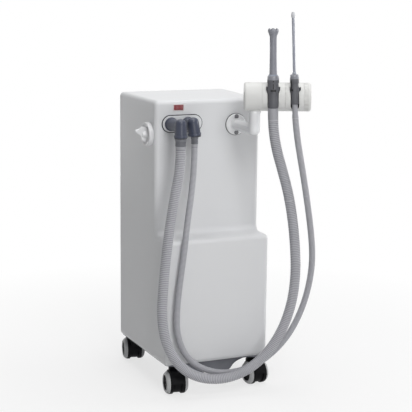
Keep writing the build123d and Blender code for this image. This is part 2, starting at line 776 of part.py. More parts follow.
# Separator tank with a drain stub at the back
drain_stub_z = shelf_top + DRAIN_PORT_RISE
tank_back = TANK_Y + TANK_RADIUS + DRAIN_STUB
with BuildPart() as separator_tank:
    turn(
        lathe(at(0, TANK_Y, shelf_top), UP),
        [
            (0, 0),
            (TANK_RADIUS - TANK_BOTTOM_RADIUS / 2, 0),
            (TANK_RADIUS, TANK_BOTTOM_RADIUS / 2),
            (TANK_RADIUS, TANK_HEIGHT),
            (0, TANK_HEIGHT),
        ],
    )
    bar(
        Plane(origin=at(0, tank_back, drain_stub_z), z_dir=(0, -1, 0)),
        DRAIN_RADIUS,
        DRAIN_STUB + TANK_RADIUS / 2,
    )
    turn(
        lathe(at(0, TANK_Y, shelf_top), UP),
        [
            (0, TANK_WALL),
            (TANK_RADIUS - TANK_BOTTOM_RADIUS / 2 - TANK_WALL, TANK_WALL),
            (TANK_RADIUS - TANK_WALL, TANK_BOTTOM_RADIUS / 2 + TANK_WALL),
            (TANK_RADIUS - TANK_WALL, TANK_HEIGHT),
            (0, TANK_HEIGHT),
        ],
        Mode.SUBTRACT,
    )
separator_tank.part.label = "separator_tank"
export_step(separator_tank.part, "parts/separator_tank.step")

# Separator lid with an inlet and an outlet stub
with BuildPart() as separator_lid:
    turn(
        lathe(at(0, TANK_Y, lid_bottom), UP),
        [
            (0, 0),
            (TANK_RADIUS + LID_OVERHANG, 0),
            (TANK_RADIUS + LID_OVERHANG, LID_HEIGHT * 0.55),
            (TANK_RADIUS, LID_HEIGHT * 0.75),
            (TANK_RADIUS * 0.8, LID_HEIGHT),
            (0, LID_HEIGHT),
        ],
    )
    for side in (-1, 1):
        bar(Plane(origin=at(side * PORT_OFFSET_X, TANK_Y, lid_top)), PIPE_RADIUS, PORT_LENGTH)
        bar(
            Plane(origin=at(side * PORT_OFFSET_X, TANK_Y, port_end)),
            PIPE_BORE,
            -PORT_LENGTH - LID_HEIGHT,
            Mode.SUBTRACT,
        )
separator_lid.part.label = "separator_lid"
export_step(separator_lid.part, "parts/separator_lid.step")

# Silencer between the blower head and the exhaust outlet
silencer_length = COVER_DEPTH - PUMP_HEAD_BACK
silencer_end = silencer_length - SILENCER_NECK
with BuildPart() as silencer:
    turn(
        lathe(at(SILENCER_X, PUMP_HEAD_BACK, SILENCER_HEIGHT), BACKWARD),
        [
            (0, 0),
            (SILENCER_RADIUS * 0.7, 0),
            (SILENCER_RADIUS, SILENCER_NECK),
            (SILENCER_RADIUS, silencer_end - SILENCER_NECK),
            (SILENCER_RADIUS * 0.7, silencer_end),
            (EXHAUST_NECK_RADIUS, silencer_end),
            (EXHAUST_NECK_RADIUS, silencer_length),
            (0, silencer_length),
        ],
    )
silencer.part.label = "silencer"
export_step(silencer.part, "parts/silencer.step")

# Control box on the inside of the back panel
with BuildPart() as control_box:
    block(
        at(-CONTROL_WIDTH / 2, COVER_DEPTH - CONTROL_DEPTH, CONTROL_BOTTOM),
        at(CONTROL_WIDTH / 2, COVER_DEPTH, CONTROL_BOTTOM + CONTROL_HEIGHT),
    )
    upright = control_box.edges().filter_by(Axis.Z).group_by(Axis.Y)[0]
    fillet(upright, CONTROL_CORNER_RADIUS)
control_box.part.label = "control_box"
export_step(control_box.part, "parts/control_box.step")

# Manifold that the two suction sockets open into
manifold_front = LEDGE_DEPTH + COVER_WALL
with BuildPart() as inlet_manifold:
    block(
        at(MANIFOLD_LEFT, manifold_front, MANIFOLD_BOTTOM),
        at(MANIFOLD_RIGHT, MANIFOLD_BACK, MANIFOLD_TOP),
    )
    holes(upper_front, socket_spots, SPIGOT_RADIUS + FIT_GAP, SPIGOT_LENGTH + SMALL_GAP)
    block(
        at(LARGE_SOCKET_X - SPIGOT_BORE, LEDGE_DEPTH + SPIGOT_LENGTH, MANIFOLD_BOTTOM + MANIFOLD_WALL),
        at(SMALL_SOCKET_X + SPIGOT_BORE, MANIFOLD_BACK - MANIFOLD_WALL, PLATE_HEIGHT_Z + SPIGOT_BORE),
        Mode.SUBTRACT,
    )
    bar(
        Plane(origin=at(SUCTION_PORT_X, SUCTION_PORT_Y, MANIFOLD_BOTTOM)),
        PIPE_BORE,
        2 * MANIFOLD_WALL,
        Mode.SUBTRACT,
    )
inlet_manifold.part.label = "inlet_manifold"
export_step(inlet_manifold.part, "parts/inlet_manifold.step")

# Pipes between manifold, separator and blower
suction_points = [
    at(SUCTION_PORT_X, SUCTION_PORT_Y, MANIFOLD_BOTTOM),
    at(SUCTION_PORT_X, SUCTION_PORT_Y, pipe_level),
    at(-PORT_OFFSET_X, TANK_Y, pipe_level),
    at(-PORT_OFFSET_X, TANK_Y, port_end),
]
with BuildPart() as suction_pipe:
    tube(suction_points, PIPE_BEND, PIPE_RADIUS, PIPE_BORE)
suction_pipe.part.label = "suction_pipe"
export_step(suction_pipe.part, "parts/suction_pipe.step")

vacuum_points = [
    at(PORT_OFFSET_X, TANK_Y, port_end),
    at(PORT_OFFSET_X, TANK_Y, pipe_level),
    at(PUMP_PORT_X, PUMP_PORT_Y, pipe_level),
    at(PUMP_PORT_X, PUMP_PORT_Y, port_top),
]
with BuildPart() as vacuum_pipe:
    tube(vacuum_points, PIPE_BEND, PIPE_RADIUS, PIPE_BORE)
vacuum_pipe.part.label = "vacuum_pipe"
export_step(vacuum_pipe.part, "parts/vacuum_pipe.step")

drain_points = [
    at(0, tank_back, drain_stub_z),
    at(0, DRAIN_LINE_Y, drain_stub_z),
    at(0, DRAIN_LINE_Y, DRAIN_HEIGHT),
    at(0, COVER_DEPTH, DRAIN_HEIGHT),
]
with BuildPart() as drain_pipe:
    tube(drain_points, DRAIN_BEND, DRAIN_RADIUS, DRAIN_BORE)
drain_pipe.part.label = "drain_pipe"
export_step(drain_pipe.part, "parts/drain_pipe.step")

# Regulator valve on the inside of the left wall
valve_plane = knob_plane.offset(-COVER_WALL)
with BuildPart() as regulator_valve:
    bar(valve_plane, VALVE_RADIUS, -VALVE_DEPTH)
    split(
        bisect_by=Plane(origin=at(MANIFOLD_LEFT, 0, 0), z_dir=(-1, 0, 0)),
        keep=Keep.TOP,
    )
    bar(valve_plane, SPINDLE_RADIUS + FIT_GAP, -SPINDLE_LENGTH, Mode.SUBTRACT)
regulator_valve.part.label = "regulator_valve"
export_step(regulator_valve.part, "parts/regulator_valve.step")

# Connection plate and gasket for the two suction sockets
gasket_front = upper_front.offset(GASKET_THICKNESS)
plate_front = gasket_front.offset(PLATE_THICKNESS)
with BuildPart() as plate_gasket:
    with BuildSketch(upper_front):
        with Locations((PLATE_MIDDLE_X, PLATE_HEIGHT_Z)):
            SlotOverall(PLATE_LENGTH + 2 * GASKET_MARGIN, PLATE_WIDTH + 2 * GASKET_MARGIN)
        with Locations(*socket_spots):
            Circle(SPIGOT_RADIUS + HOLE_GAP, mode=Mode.SUBTRACT)
    extrude(amount=GASKET_THICKNESS)
plate_gasket.part.label = "plate_gasket"
export_step(plate_gasket.part, "parts/plate_gasket.step")

with BuildPart() as connection_plate:
    with BuildSketch(gasket_front):
        with Locations((PLATE_MIDDLE_X, PLATE_HEIGHT_Z)):
            SlotOverall(PLATE_LENGTH, PLATE_WIDTH)
        with Locations(*socket_spots):
            Circle(SPIGOT_RADIUS + HOLE_GAP, mode=Mode.SUBTRACT)
    extrude(amount=PLATE_THICKNESS)
    rim = connection_plate.faces().sort_by(Axis.Y)[0].outer_wire().edges()
    fillet(rim, PLATE_THICKNESS / 2)
connection_plate.part.label = "connection_plate"
export_step(connection_plate.part, "parts/connection_plate.step")

# Suction elbows: spigot, short branch and a leg that points down
elbow_bottom = PLATE_HEIGHT_Z - ELBOW_LEG_DROP
root_back = GASKET_THICKNESS + PLATE_THICKNESS


def elbow_pieces(socket_x, reach):
    """Elbow with its branch, domed leg, collar and bores."""
    leg_y = LEDGE_DEPTH - reach
    branch = lathe(at(socket_x, LEDGE_DEPTH - root_back, PLATE_HEIGHT_Z), -BACKWARD)
    leg = lathe(at(socket_x, leg_y, elbow_bottom), UP)
    leg_top = ELBOW_LEG_DROP + ELBOW_TOP_RISE
    turn(
        branch,
        [
            (0, 0),
            (ELBOW_ROOT_RADIUS, 0),
            (ELBOW_ROOT_RADIUS, ELBOW_COLLAR_HEIGHT * 0.7),
            (ELBOW_BRANCH_RADIUS, ELBOW_COLLAR_HEIGHT),
            (ELBOW_BRANCH_RADIUS, reach - root_back),
            (0, reach - root_back),
        ],
    )
    turn(
        leg,
        [
            (0, 0),
            (ELBOW_COLLAR_RADIUS, 0),
            (ELBOW_COLLAR_RADIUS, ELBOW_COLLAR_HEIGHT),
            (ELBOW_LEG_RADIUS, ELBOW_COLLAR_HEIGHT + 1),
        ]
        + dome(ELBOW_LEG_RADIUS, leg_top, ELBOW_DOME_RADIUS)
        + [(0, leg_top)],
    )
    bar(branch_plane(socket_x), SPIGOT_RADIUS, SPIGOT_LENGTH + root_back)
    bar(branch_plane(socket_x), SPIGOT_BORE, SPIGOT_LENGTH + root_back, Mode.SUBTRACT)
    bar(
        Plane(origin=at(socket_x, leg_y, PLATE_HEIGHT_Z), z_dir=(0, 1, 0)),
        SPIGOT_BORE,
        reach,
        Mode.SUBTRACT,
    )
    bar(Plane(origin=at(socket_x, leg_y, elbow_bottom)), LEG_BORE, ELBOW_LEG_DROP, Mode.SUBTRACT)


def branch_plane(socket_x):
    """Plane on the front of the plate that faces into the cabinet."""
    return Plane(
        origin=at(socket_x, LEDGE_DEPTH - root_back, PLATE_HEIGHT_Z), z_dir=(0, 1, 0)
    )


with BuildPart() as hve_elbow:
    elbow_pieces(LARGE_SOCKET_X, LARGE_ELBOW_REACH)
hve_elbow.part.label = "hve_elbow"
export_step(hve_elbow.part, "parts/hve_elbow.step")

with BuildPart() as se_elbow:
    elbow_pieces(SMALL_SOCKET_X, SMALL_ELBOW_REACH)
se_elbow.part.label = "se_elbow"
export_step(se_elbow.part, "parts/se_elbow.step")

# Cuffs that hold the hoses under the elbows
cuff_bottom = elbow_bottom - CUFF_LENGTH


def cuff_section(radius, end_radius):
    """Section of a cuff with a finger groove, from its lower end."""
    return [
        (0, 0),
        (end_radius, 0),
        (end_radius, CUFF_LENGTH * 0.2),
        (end_radius - CUFF_GROOVE, CUFF_LENGTH * 0.26),
        (end_radius - CUFF_GROOVE, CUFF_LENGTH * 0.36),
        (end_radius, CUFF_LENGTH * 0.42),
        (radius, CUFF_LENGTH),
        (0, CUFF_LENGTH),
    ]


with BuildPart() as hve_cuff:
    large_leg = at(LARGE_SOCKET_X, LEDGE_DEPTH - LARGE_ELBOW_REACH, cuff_bottom)
    turn(lathe(large_leg, UP), cuff_section(LARGE_CUFF_RADIUS, LARGE_CUFF_END_RADIUS))
hve_cuff.part.label = "hve_cuff"
export_step(hve_cuff.part, "parts/hve_cuff.step")

with BuildPart() as se_cuff:
    small_leg = at(SMALL_SOCKET_X, LEDGE_DEPTH - SMALL_ELBOW_REACH, cuff_bottom)
    turn(lathe(small_leg, UP), cuff_section(SMALL_CUFF_RADIUS, SMALL_CUFF_END_RADIUS))
se_cuff.part.label = "se_cuff"
export_step(se_cuff.part, "parts/se_cuff.step")

# Rocker switch: housing with a pale rim, and the rocker in it
pocket_depth = ROCKER_PIVOT_DEPTH + ROCKER_FOOT_DEPTH + ROCKER_LIP
rocker_pivot = at(SWITCH_X, LEDGE_DEPTH + ROCKER_PIVOT_DEPTH, SWITCH_HEIGHT - ROCKER_WIDTH / 2)
rocker_pin_plane = Plane(origin=rocker_pivot - UP * ROCKER_PIN_REACH)
with BuildPart() as switch_bezel:
    with BuildSketch(upper_front):
        with Locations((SWITCH_X, SWITCH_HEIGHT)):
            RectangleRounded(switch_length, switch_width, BEZEL_RIM)
    extrude(amount=BEZEL_THICKNESS)
    with BuildSketch(upper_front):
        with Locations((SWITCH_X, SWITCH_HEIGHT)):
            Rectangle(switch_body_length, switch_body_width)
    extrude(amount=-SWITCH_BODY_DEPTH)
    with BuildSketch(upper_front.offset(BEZEL_THICKNESS)):
        with Locations((SWITCH_X, SWITCH_HEIGHT)):
            Rectangle(pocket_length, pocket_width)
    extrude(amount=-BEZEL_THICKNESS - pocket_depth, mode=Mode.SUBTRACT)
    bar(rocker_pin_plane, ROCKER_PIN_RADIUS + FIT_GAP, switch_width, Mode.SUBTRACT)
switch_bezel.part.label = "switch_bezel"
export_step(switch_bezel.part, "parts/switch_bezel.step")

rocker_plane = Plane(origin=rocker_pivot).rotated((0, 0, -ROCKER_TILT))
rocker_face = ROCKER_PIVOT_DEPTH + ROCKER_LIP
with BuildPart() as power_rocker:
    with BuildSketch(rocker_plane):
        with BuildLine():
            Polyline(
                (-ROCKER_LENGTH / 2, -rocker_face),
                (0, -rocker_face + ROCKER_DIP),
                (ROCKER_LENGTH / 2, -rocker_face),
                (ROCKER_LENGTH / 2, -ROCKER_PIVOT_DEPTH),
                (ROCKER_FOOT / 2, ROCKER_FOOT_DEPTH),
                (-ROCKER_FOOT / 2, ROCKER_FOOT_DEPTH),
                (-ROCKER_LENGTH / 2, -ROCKER_PIVOT_DEPTH),
                close=True,
            )
        make_face()
    extrude(amount=ROCKER_WIDTH)
    bar(rocker_pin_plane, ROCKER_PIN_RADIUS, ROCKER_WIDTH + 2 * ROCKER_PIN_REACH)
power_rocker.part.label = "power_rocker"
export_step(power_rocker.part, "parts/power_rocker.step")

# Flow regulator knob: dished skirt, hub, spindle and a pointed finger grip
knob_section = lathe(knob_plane.origin, knob_plane.z_dir)
grip_plane = Plane(
    origin=knob_plane.origin,
    x_dir=(0, 0, 1),
    z_dir=UP.cross(knob_plane.z_dir),
)
dish_floor = KNOB_SKIRT - KNOB_DISH_DEPTH
with BuildPart() as regulator_knob:
    turn(
        knob_section,
        [
            (0, SMALL_GAP),
            (KNOB_RADIUS - KNOB_LIP / 3, SMALL_GAP),
            (KNOB_RADIUS, SMALL_GAP + KNOB_LIP / 3),
            (KNOB_RADIUS, KNOB_SKIRT - KNOB_LIP / 3),
            (KNOB_RADIUS - KNOB_LIP / 3, KNOB_SKIRT),
            (KNOB_RADIUS - KNOB_LIP, KNOB_SKIRT),
            (KNOB_RADIUS - 2 * KNOB_LIP, dish_floor + KNOB_LIP / 3),
            (KNOB_HUB_RADIUS * 1.6, dish_floor),
            (KNOB_HUB_RADIUS, dish_floor + KNOB_LIP),
            (KNOB_HUB_RADIUS * 0.8, KNOB_HUB_REACH),
            (0, KNOB_HUB_REACH),
        ],
    )
    with BuildSketch(grip_plane):
        with BuildLine():
            Polyline(
                (-KNOB_GRIP_HALF, dish_floor),
                (-KNOB_GRIP_HALF, KNOB_SKIRT + KNOB_LIP),
                (-KNOB_GRIP_HALF * 0.7, KNOB_REACH * 0.58),
                (-KNOB_GRIP_HALF * 0.2, KNOB_REACH * 0.64),
                (KNOB_GRIP_HALF * 0.45, KNOB_REACH),
                (KNOB_GRIP_HALF * 0.68, KNOB_REACH * 0.96),
                (KNOB_GRIP_HALF * 0.82, KNOB_REACH * 0.7),
                (KNOB_GRIP_HALF * 1.1, KNOB_REACH * 0.58),
                (KNOB_GRIP_HALF * 1.05, dish_floor),
                close=True,
            )
        make_face()
    extrude(amount=KNOB_GRIP_THICKNESS / 2, both=True)
    bar(knob_plane.offset(KNOB_SKIRT / 2), SPINDLE_RADIUS, -KNOB_SKIRT / 2 - SPINDLE_LENGTH)
regulator_knob.part.label = "regulator_knob"
export_step(regulator_knob.part, "parts/regulator_knob.step")

# Holder arm: wall flange and the bent post with the swivel pin
with BuildPart() as holder_flange:
    with BuildSketch(upper_front):
        with Locations((ARM_X, ARM_HEIGHT)):
            Circle(FLANGE_RADIUS)
    extrude(amount=FLANGE_THICKNESS)
    chamfer(holder_flange.faces().sort_by(Axis.Y)[0].outer_wire().edges(), FLANGE_THICKNESS / 4)
    holes(upper_front.offset(FLANGE_THICKNESS), flange_screw_spots, screw_hole, FLANGE_THICKNESS)
holder_flange.part.label = "holder_flange"
export_step(holder_flange.part, "parts/holder_flange.step")

mount_flat = DRUM_HEIGHT - DRUM_RADIUS + MOUNT_FLAT
collar_bottom = mount_flat - ARM_COLLAR_HEIGHT
arm_points = [
    at(ARM_X, LEDGE_DEPTH - FLANGE_THICKNESS, ARM_HEIGHT),
    at(ARM_X, ARM_Y, ARM_HEIGHT),
    at(ARM_X, ARM_Y, collar_bottom),
]
with BuildPart() as holder_arm:
    tube(arm_points, ARM_BEND_RADIUS, ARM_RADIUS)
    bar(Plane(origin=at(ARM_X, ARM_Y, collar_bottom)), ARM_COLLAR_RADIUS, ARM_COLLAR_HEIGHT)
    bar(Plane(origin=at(ARM_X, ARM_Y, mount_flat)), SWIVEL_PIN_RADIUS, SWIVEL_PIN_LENGTH)
holder_arm.part.label = "holder_arm"
export_step(holder_arm.part, "parts/holder_arm.step")

# Holder drum: the segment on the post, two grooved segments and the end knob
rod_bore = TIE_ROD_RADIUS + FIT_GAP
rod_start = DRUM_LEFT_END / 2
rod_end = (DRUM_THIRD_SEAM + DRUM_RIGHT_END) / 2
rod_plane = Plane(origin=drum_centre + along_drum * rod_start, z_dir=along_drum)
rod_length = rod_end - rod_start


def drum_segment(start, end):
    """Plain length of the drum with a fine chamfer at each seam."""
    edge = DRUM_SEAM_CHAMFER
    turn(
        drum_section,
        [
            (0, start),
            (DRUM_RADIUS - edge, start),
            (DRUM_RADIUS, start + edge),
            (DRUM_RADIUS, end - edge),
            (DRUM_RADIUS - edge, end),
            (0, end),
        ],
    )


def groove(base, lower_radius, upper_radius, shoulder):
    """Groove along a handpiece, open to the front, with a step that it stands on."""
    floor = DRUM_HEIGHT - DRUM_RADIUS * 1.2
    for radius, height in ((lower_radius, floor), (upper_radius, shoulder)):
        with BuildSketch(base.offset(height)) as face:
            Circle(radius)
            with Locations((0, -DRUM_RADIUS / 2)):
                Rectangle(2 * radius, DRUM_RADIUS)
        extrude(face.sketch, amount=3 * DRUM_RADIUS, mode=Mode.SUBTRACT)


with BuildPart() as drum_mount:
    turn(
        drum_section,
        [(0, DRUM_LEFT_END)]
        + [(r, -h) for r, h in reversed(dome(DRUM_RADIUS, -DRUM_LEFT_END, DRUM_END_RADIUS))]
        + [
            (DRUM_RADIUS, DRUM_FIRST_SEAM - DRUM_SEAM_CHAMFER),
            (DRUM_RADIUS - DRUM_SEAM_CHAMFER, DRUM_FIRST_SEAM),
            (0, DRUM_FIRST_SEAM),
        ],
    )
    bar(Plane(origin=at(ARM_X, ARM_Y, mount_flat)), MOUNT_BOSS_RADIUS, DRUM_RADIUS)
    split(bisect_by=Plane(origin=at(0, 0, mount_flat)), keep=Keep.TOP)
    pin_bore = SWIVEL_PIN_RADIUS + FIT_GAP
    bar(
        Plane(origin=at(ARM_X, ARM_Y, mount_flat)),
        pin_bore,
        SWIVEL_PIN_LENGTH + SMALL_GAP,
        Mode.SUBTRACT,
    )
    bar(rod_plane, rod_bore, rod_length, Mode.SUBTRACT)
drum_mount.part.label = "drum_mount"
export_step(drum_mount.part, "parts/drum_mount.step")

large_lower = LARGE_GRIP_RADIUS + HANDPIECE_GAP
large_upper = LARGE_BODY_RADIUS + HANDPIECE_GAP
small_lower = SMALL_GRIP_RADIUS + HANDPIECE_GAP
small_upper = SMALL_BODY_RADIUS + HANDPIECE_GAP
with BuildPart() as hve_holder:
    drum_segment(DRUM_FIRST_SEAM, DRUM_SECOND_SEAM)
    groove(large_base, large_lower, large_upper, LARGE_SHOULDER)
    bar(rod_plane, rod_bore, rod_length, Mode.SUBTRACT)
hve_holder.part.label = "hve_holder"
export_step(hve_holder.part, "parts/hve_holder.step")

with BuildPart() as se_holder:
    drum_segment(DRUM_SECOND_SEAM, DRUM_THIRD_SEAM)
    groove(small_base, small_lower, small_upper, SMALL_SHOULDER)
    bar(rod_plane, rod_bore, rod_length, Mode.SUBTRACT)
se_holder.part.label = "se_holder"
export_step(se_holder.part, "parts/se_holder.step")

with BuildPart() as tie_rod:
    bar(rod_plane, TIE_ROD_RADIUS, rod_length)
tie_rod.part.label = "tie_rod"
export_step(tie_rod.part, "parts/tie_rod.step")

# End knob with ribs round its rim
knob_points = [(0, DRUM_THIRD_SEAM), (DRUM_RADIUS - DRUM_SEAM_CHAMFER, DRUM_THIRD_SEAM)]
knob_points.append((DRUM_RADIUS, DRUM_THIRD_SEAM + DRUM_SEAM_CHAMFER))
ring_step = KNOB_RING_PITCH - KNOB_RING_WIDTH
for ring in range(KNOB_RING_COUNT):
    ring_start = DRUM_THIRD_SEAM + ring_step + ring * KNOB_RING_PITCH
    knob_points.append((DRUM_RADIUS, ring_start))
    knob_points.append((DRUM_RADIUS - KNOB_RING_DEPTH, ring_start))
    knob_points.append((DRUM_RADIUS - KNOB_RING_DEPTH, ring_start + KNOB_RING_WIDTH))
    knob_points.append((DRUM_RADIUS, ring_start + KNOB_RING_WIDTH))
knob_points += dome(DRUM_RADIUS, DRUM_RIGHT_END, DRUM_END_RADIUS)
knob_points.append((0, DRUM_RIGHT_END))
with BuildPart() as end_knob:
    turn(drum_section, knob_points)
    bar(rod_plane, rod_bore, rod_length + SMALL_GAP, Mode.SUBTRACT)
end_knob.part.label = "end_knob"
export_step(end_knob.part, "parts/end_knob.step")


def slide_height(shoulder):
    """Lower end of the valve slider over the shoulder of its handpiece."""
    return shoulder + SLIDE_SEAT + FIT_GAP


def window_plane(base, turned):
    """Plane along a handpiece's axis that faces the way its slider's window looks."""
    facing = (base.y_dir * -1).rotate(Axis(base.origin, base.z_dir), -turned)
    return Plane(origin=base.origin, x_dir=base.z_dir.cross(facing), z_dir=facing)


def handpiece_section(grip, low, shoulder, radius, slide, travel, top):
    """Section of a handpiece: grip, shoulder, recess for the slider and nose."""
    recess = radius - BODY_RECESS
    recess_top = slide_height(shoulder) + slide + travel + SMALL_GAP
    return [
        (0, low),
        (grip - 1, low),
        (grip, low + 1),
        (grip, shoulder),
        (radius, shoulder),
        (radius, shoulder + SLIDE_SEAT),
        (recess, shoulder + SLIDE_SEAT),
        (recess, recess_top),
        (radius, recess_top + BODY_RECESS),
        (radius, top - BODY_NOSE_HEIGHT),
        (radius - BODY_NOSE_TAPER, top - 1),
        (radius - BODY_NOSE_TAPER - 1, top),
        (0, top),
    ]


# Large handpiece with its valve slider and wide cannula
large_lathe = lathe(large_base.origin, large_base.z_dir)
with BuildPart() as hve_handpiece:
    turn(
        large_lathe,
        handpiece_section(
            LARGE_GRIP_RADIUS,
            LARGE_GRIP_BOTTOM,
            LARGE_SHOULDER,
            LARGE_BODY_RADIUS,
            LARGE_SLIDE_HEIGHT,
            LARGE_SLIDE_TRAVEL,
            LARGE_BODY_TOP,
        ),
    )
    bar(
        large_base.offset(LARGE_BODY_TOP),
        LARGE_BORE_RADIUS,
        -TUBE_SOCKET_DEPTH,
        Mode.SUBTRACT,
    )
hve_handpiece.part.label = "hve_handpiece"
export_step(hve_handpiece.part, "parts/hve_handpiece.step")

large_slide_bottom = slide_height(LARGE_SHOULDER)
large_slide_inner = LARGE_BODY_RADIUS - BODY_RECESS + SMALL_GAP
large_slide_top = large_slide_bottom + LARGE_SLIDE_HEIGHT
with BuildPart() as hve_slide:
    turn(
        large_lathe,
        [
            (0, large_slide_bottom),
            (large_slide_inner + SLIDE_WALL, large_slide_bottom),
            (large_slide_inner + SLIDE_WALL, large_slide_top),
            (0, large_slide_top),
        ],
    )
    with BuildSketch(large_base.offset(large_slide_top)):
        SlotOverall(2 * LARGE_EAR_REACH, EAR_WIDTH)
    extrude(amount=-EAR_HEIGHT)
    bar(
        large_base.offset(large_slide_bottom),
        large_slide_inner,
        LARGE_SLIDE_HEIGHT,
        Mode.SUBTRACT,
    )
    with BuildSketch(window_plane(large_base, 0)):
        with Locations((0, large_slide_bottom + WINDOW_SILL)):
            Rectangle(LARGE_WINDOW_WIDTH, WINDOW_HEIGHT, align=(Align.CENTER, Align.MIN))
    extrude(amount=2 * LARGE_BODY_RADIUS, mode=Mode.SUBTRACT)
hve_slide.part.label = "hve_slide"
export_step(hve_slide.part, "parts/hve_slide.step")

large_plug = LARGE_BORE_RADIUS - FIT_GAP
large_socket_floor = LARGE_BODY_TOP - TUBE_SOCKET_DEPTH
flare_rise = LARGE_TUBE_TOP - LARGE_TUBE_FLARE_START
with BuildPart() as hve_cannula:
    turn(
        large_lathe,
        [
            (LARGE_TUBE_BORE, large_socket_floor),
            (large_plug, large_socket_floor),
            (large_plug, LARGE_BODY_TOP),
            (LARGE_TUBE_ROOT_RADIUS, LARGE_BODY_TOP),
            (LARGE_TUBE_ROOT_RADIUS, LARGE_BODY_TOP + 3),
            (LARGE_TUBE_RADIUS, LARGE_BODY_TOP + 40),
            (LARGE_TUBE_RADIUS, LARGE_TUBE_FLARE_START),
            (LARGE_TUBE_FLARE_RADIUS - FLARE_LIP, LARGE_TUBE_TOP - flare_rise * 0.62),
            (LARGE_TUBE_FLARE_RADIUS, LARGE_TUBE_TOP - flare_rise * 0.4),
            (LARGE_TUBE_FLARE_RADIUS, LARGE_TUBE_TOP - flare_rise * 0.2),
            (LARGE_TUBE_FLARE_RADIUS - FLARE_LIP / 3, LARGE_TUBE_TOP - flare_rise * 0.07),
            (LARGE_TUBE_FLARE_RADIUS - FLARE_LIP, LARGE_TUBE_TOP),
            (LARGE_TUBE_FLARE_RADIUS - FLARE_LIP - FLARE_WALL, LARGE_TUBE_TOP),
            (LARGE_TUBE_FLARE_RADIUS - FLARE_WALL, LARGE_TUBE_TOP - flare_rise * 0.3),
            (LARGE_TUBE_BORE, LARGE_TUBE_TOP - flare_rise * 0.8),
        ],
    )
    for scallop in range(SCALLOP_COUNT):
        outward = large_base.x_dir.rotate(
            Axis(large_base.origin, large_base.z_dir), 360 * scallop / SCALLOP_COUNT
        )
        bar(
            Plane(origin=large_base.offset(LARGE_TUBE_TOP).origin, z_dir=outward),
            SCALLOP_RADIUS,
            2 * LARGE_TUBE_FLARE_RADIUS,
            Mode.SUBTRACT,
        )
hve_cannula.part.label = "hve_cannula"
export_step(hve_cannula.part, "parts/hve_cannula.step")

# Small handpiece with its valve slider, thin cannula and soft tip
small_lathe = lathe(small_base.origin, small_base.z_dir)
with BuildPart() as se_handpiece:
    turn(
        small_lathe,
        handpiece_section(
            SMALL_GRIP_RADIUS,
            SMALL_GRIP_BOTTOM,
            SMALL_SHOULDER,
            SMALL_BODY_RADIUS,
            SMALL_SLIDE_HEIGHT,
            SMALL_SLIDE_TRAVEL,
            SMALL_BODY_TOP,
        ),
    )
    bar(
        small_base.offset(SMALL_BODY_TOP),
        SMALL_BORE_RADIUS,
        -TUBE_SOCKET_DEPTH,
        Mode.SUBTRACT,
    )
se_handpiece.part.label = "se_handpiece"
export_step(se_handpiece.part, "parts/se_handpiece.step")

small_slide_bottom = slide_height(SMALL_SHOULDER)
small_slide_inner = SMALL_BODY_RADIUS - BODY_RECESS + SMALL_GAP
small_slide_top = small_slide_bottom + SMALL_SLIDE_HEIGHT
with BuildPart() as se_slide:
    turn(
        small_lathe,
        [
            (0, small_slide_bottom),
            (small_slide_inner + SLIDE_WALL, small_slide_bottom),
            (small_slide_inner + SLIDE_WALL, small_slide_top),
            (0, small_slide_top),
        ],
    )
    with BuildSketch(small_base.offset(small_slide_top)):
        with Locations((SMALL_EAR_REACH / 2, 0)):
            SlotOverall(SMALL_EAR_REACH, EAR_WIDTH)
    extrude(amount=-EAR_HEIGHT)
    bar(
        small_base.offset(small_slide_bottom),
        small_slide_inner,
        SMALL_SLIDE_HEIGHT,
        Mode.SUBTRACT,
    )
    with BuildSketch(window_plane(small_base, SMALL_SLIDE_TURN)):
        with Locations((0, small_slide_bottom + WINDOW_SILL)):
            Rectangle(SMALL_WINDOW_WIDTH, WINDOW_HEIGHT, align=(Align.CENTER, Align.MIN))
    extrude(amount=2 * SMALL_BODY_RADIUS, mode=Mode.SUBTRACT)
se_slide.part.label = "se_slide"
export_step(se_slide.part, "parts/se_slide.step")

small_plug = SMALL_BORE_RADIUS - FIT_GAP
small_socket_floor = SMALL_BODY_TOP - TUBE_SOCKET_DEPTH
with BuildPart() as se_cannula:
    turn(
        small_lathe,
        [
            (SMALL_TUBE_BORE, small_socket_floor),
            (small_plug, small_socket_floor),
            (small_plug, SMALL_TUBE_TOP),
            (SMALL_TUBE_BORE, SMALL_TUBE_TOP),
        ],
    )
se_cannula.part.label = "se_cannula"
export_step(se_cannula.part, "parts/se_cannula.step")

with BuildPart() as se_tip:
    turn(
        small_lathe,
        [
            (0, SMALL_TIP_BOTTOM),
            (SMALL_TIP_RADIUS - 1.5, SMALL_TIP_BOTTOM),
            (SMALL_TIP_RADIUS, SMALL_TIP_BOTTOM + 2.5),
        ]
        + dome(SMALL_TIP_RADIUS, SMALL_TIP_TOP, SMALL_TIP_RADIUS - 1.5)
        + [(0, SMALL_TIP_TOP)],
    )
    bar(
        small_base.offset(SMALL_TIP_BOTTOM),
        SMALL_BORE_RADIUS,
        SMALL_TUBE_TOP - SMALL_TIP_BOTTOM,
        Mode.SUBTRACT,
    )
    bar(
        small_base.offset(SMALL_TUBE_TOP),
        SMALL_TUBE_BORE,
        SMALL_TIP_TOP - SMALL_TUBE_TOP,
        Mode.SUBTRACT,
    )
    with BuildSketch(small_base.offset(SMALL_TIP_TOP)):
        Rectangle(2 * SMALL_TIP_RADIUS, TIP_SLOT_WIDTH)
        Rectangle(TIP_SLOT_WIDTH, 2 * SMALL_TIP_RADIUS)
    extrude(amount=-TIP_SLOT_DEPTH, mode=Mode.SUBTRACT)
se_tip.part.label = "se_tip"
export_step(se_tip.part, "parts/se_tip.step")

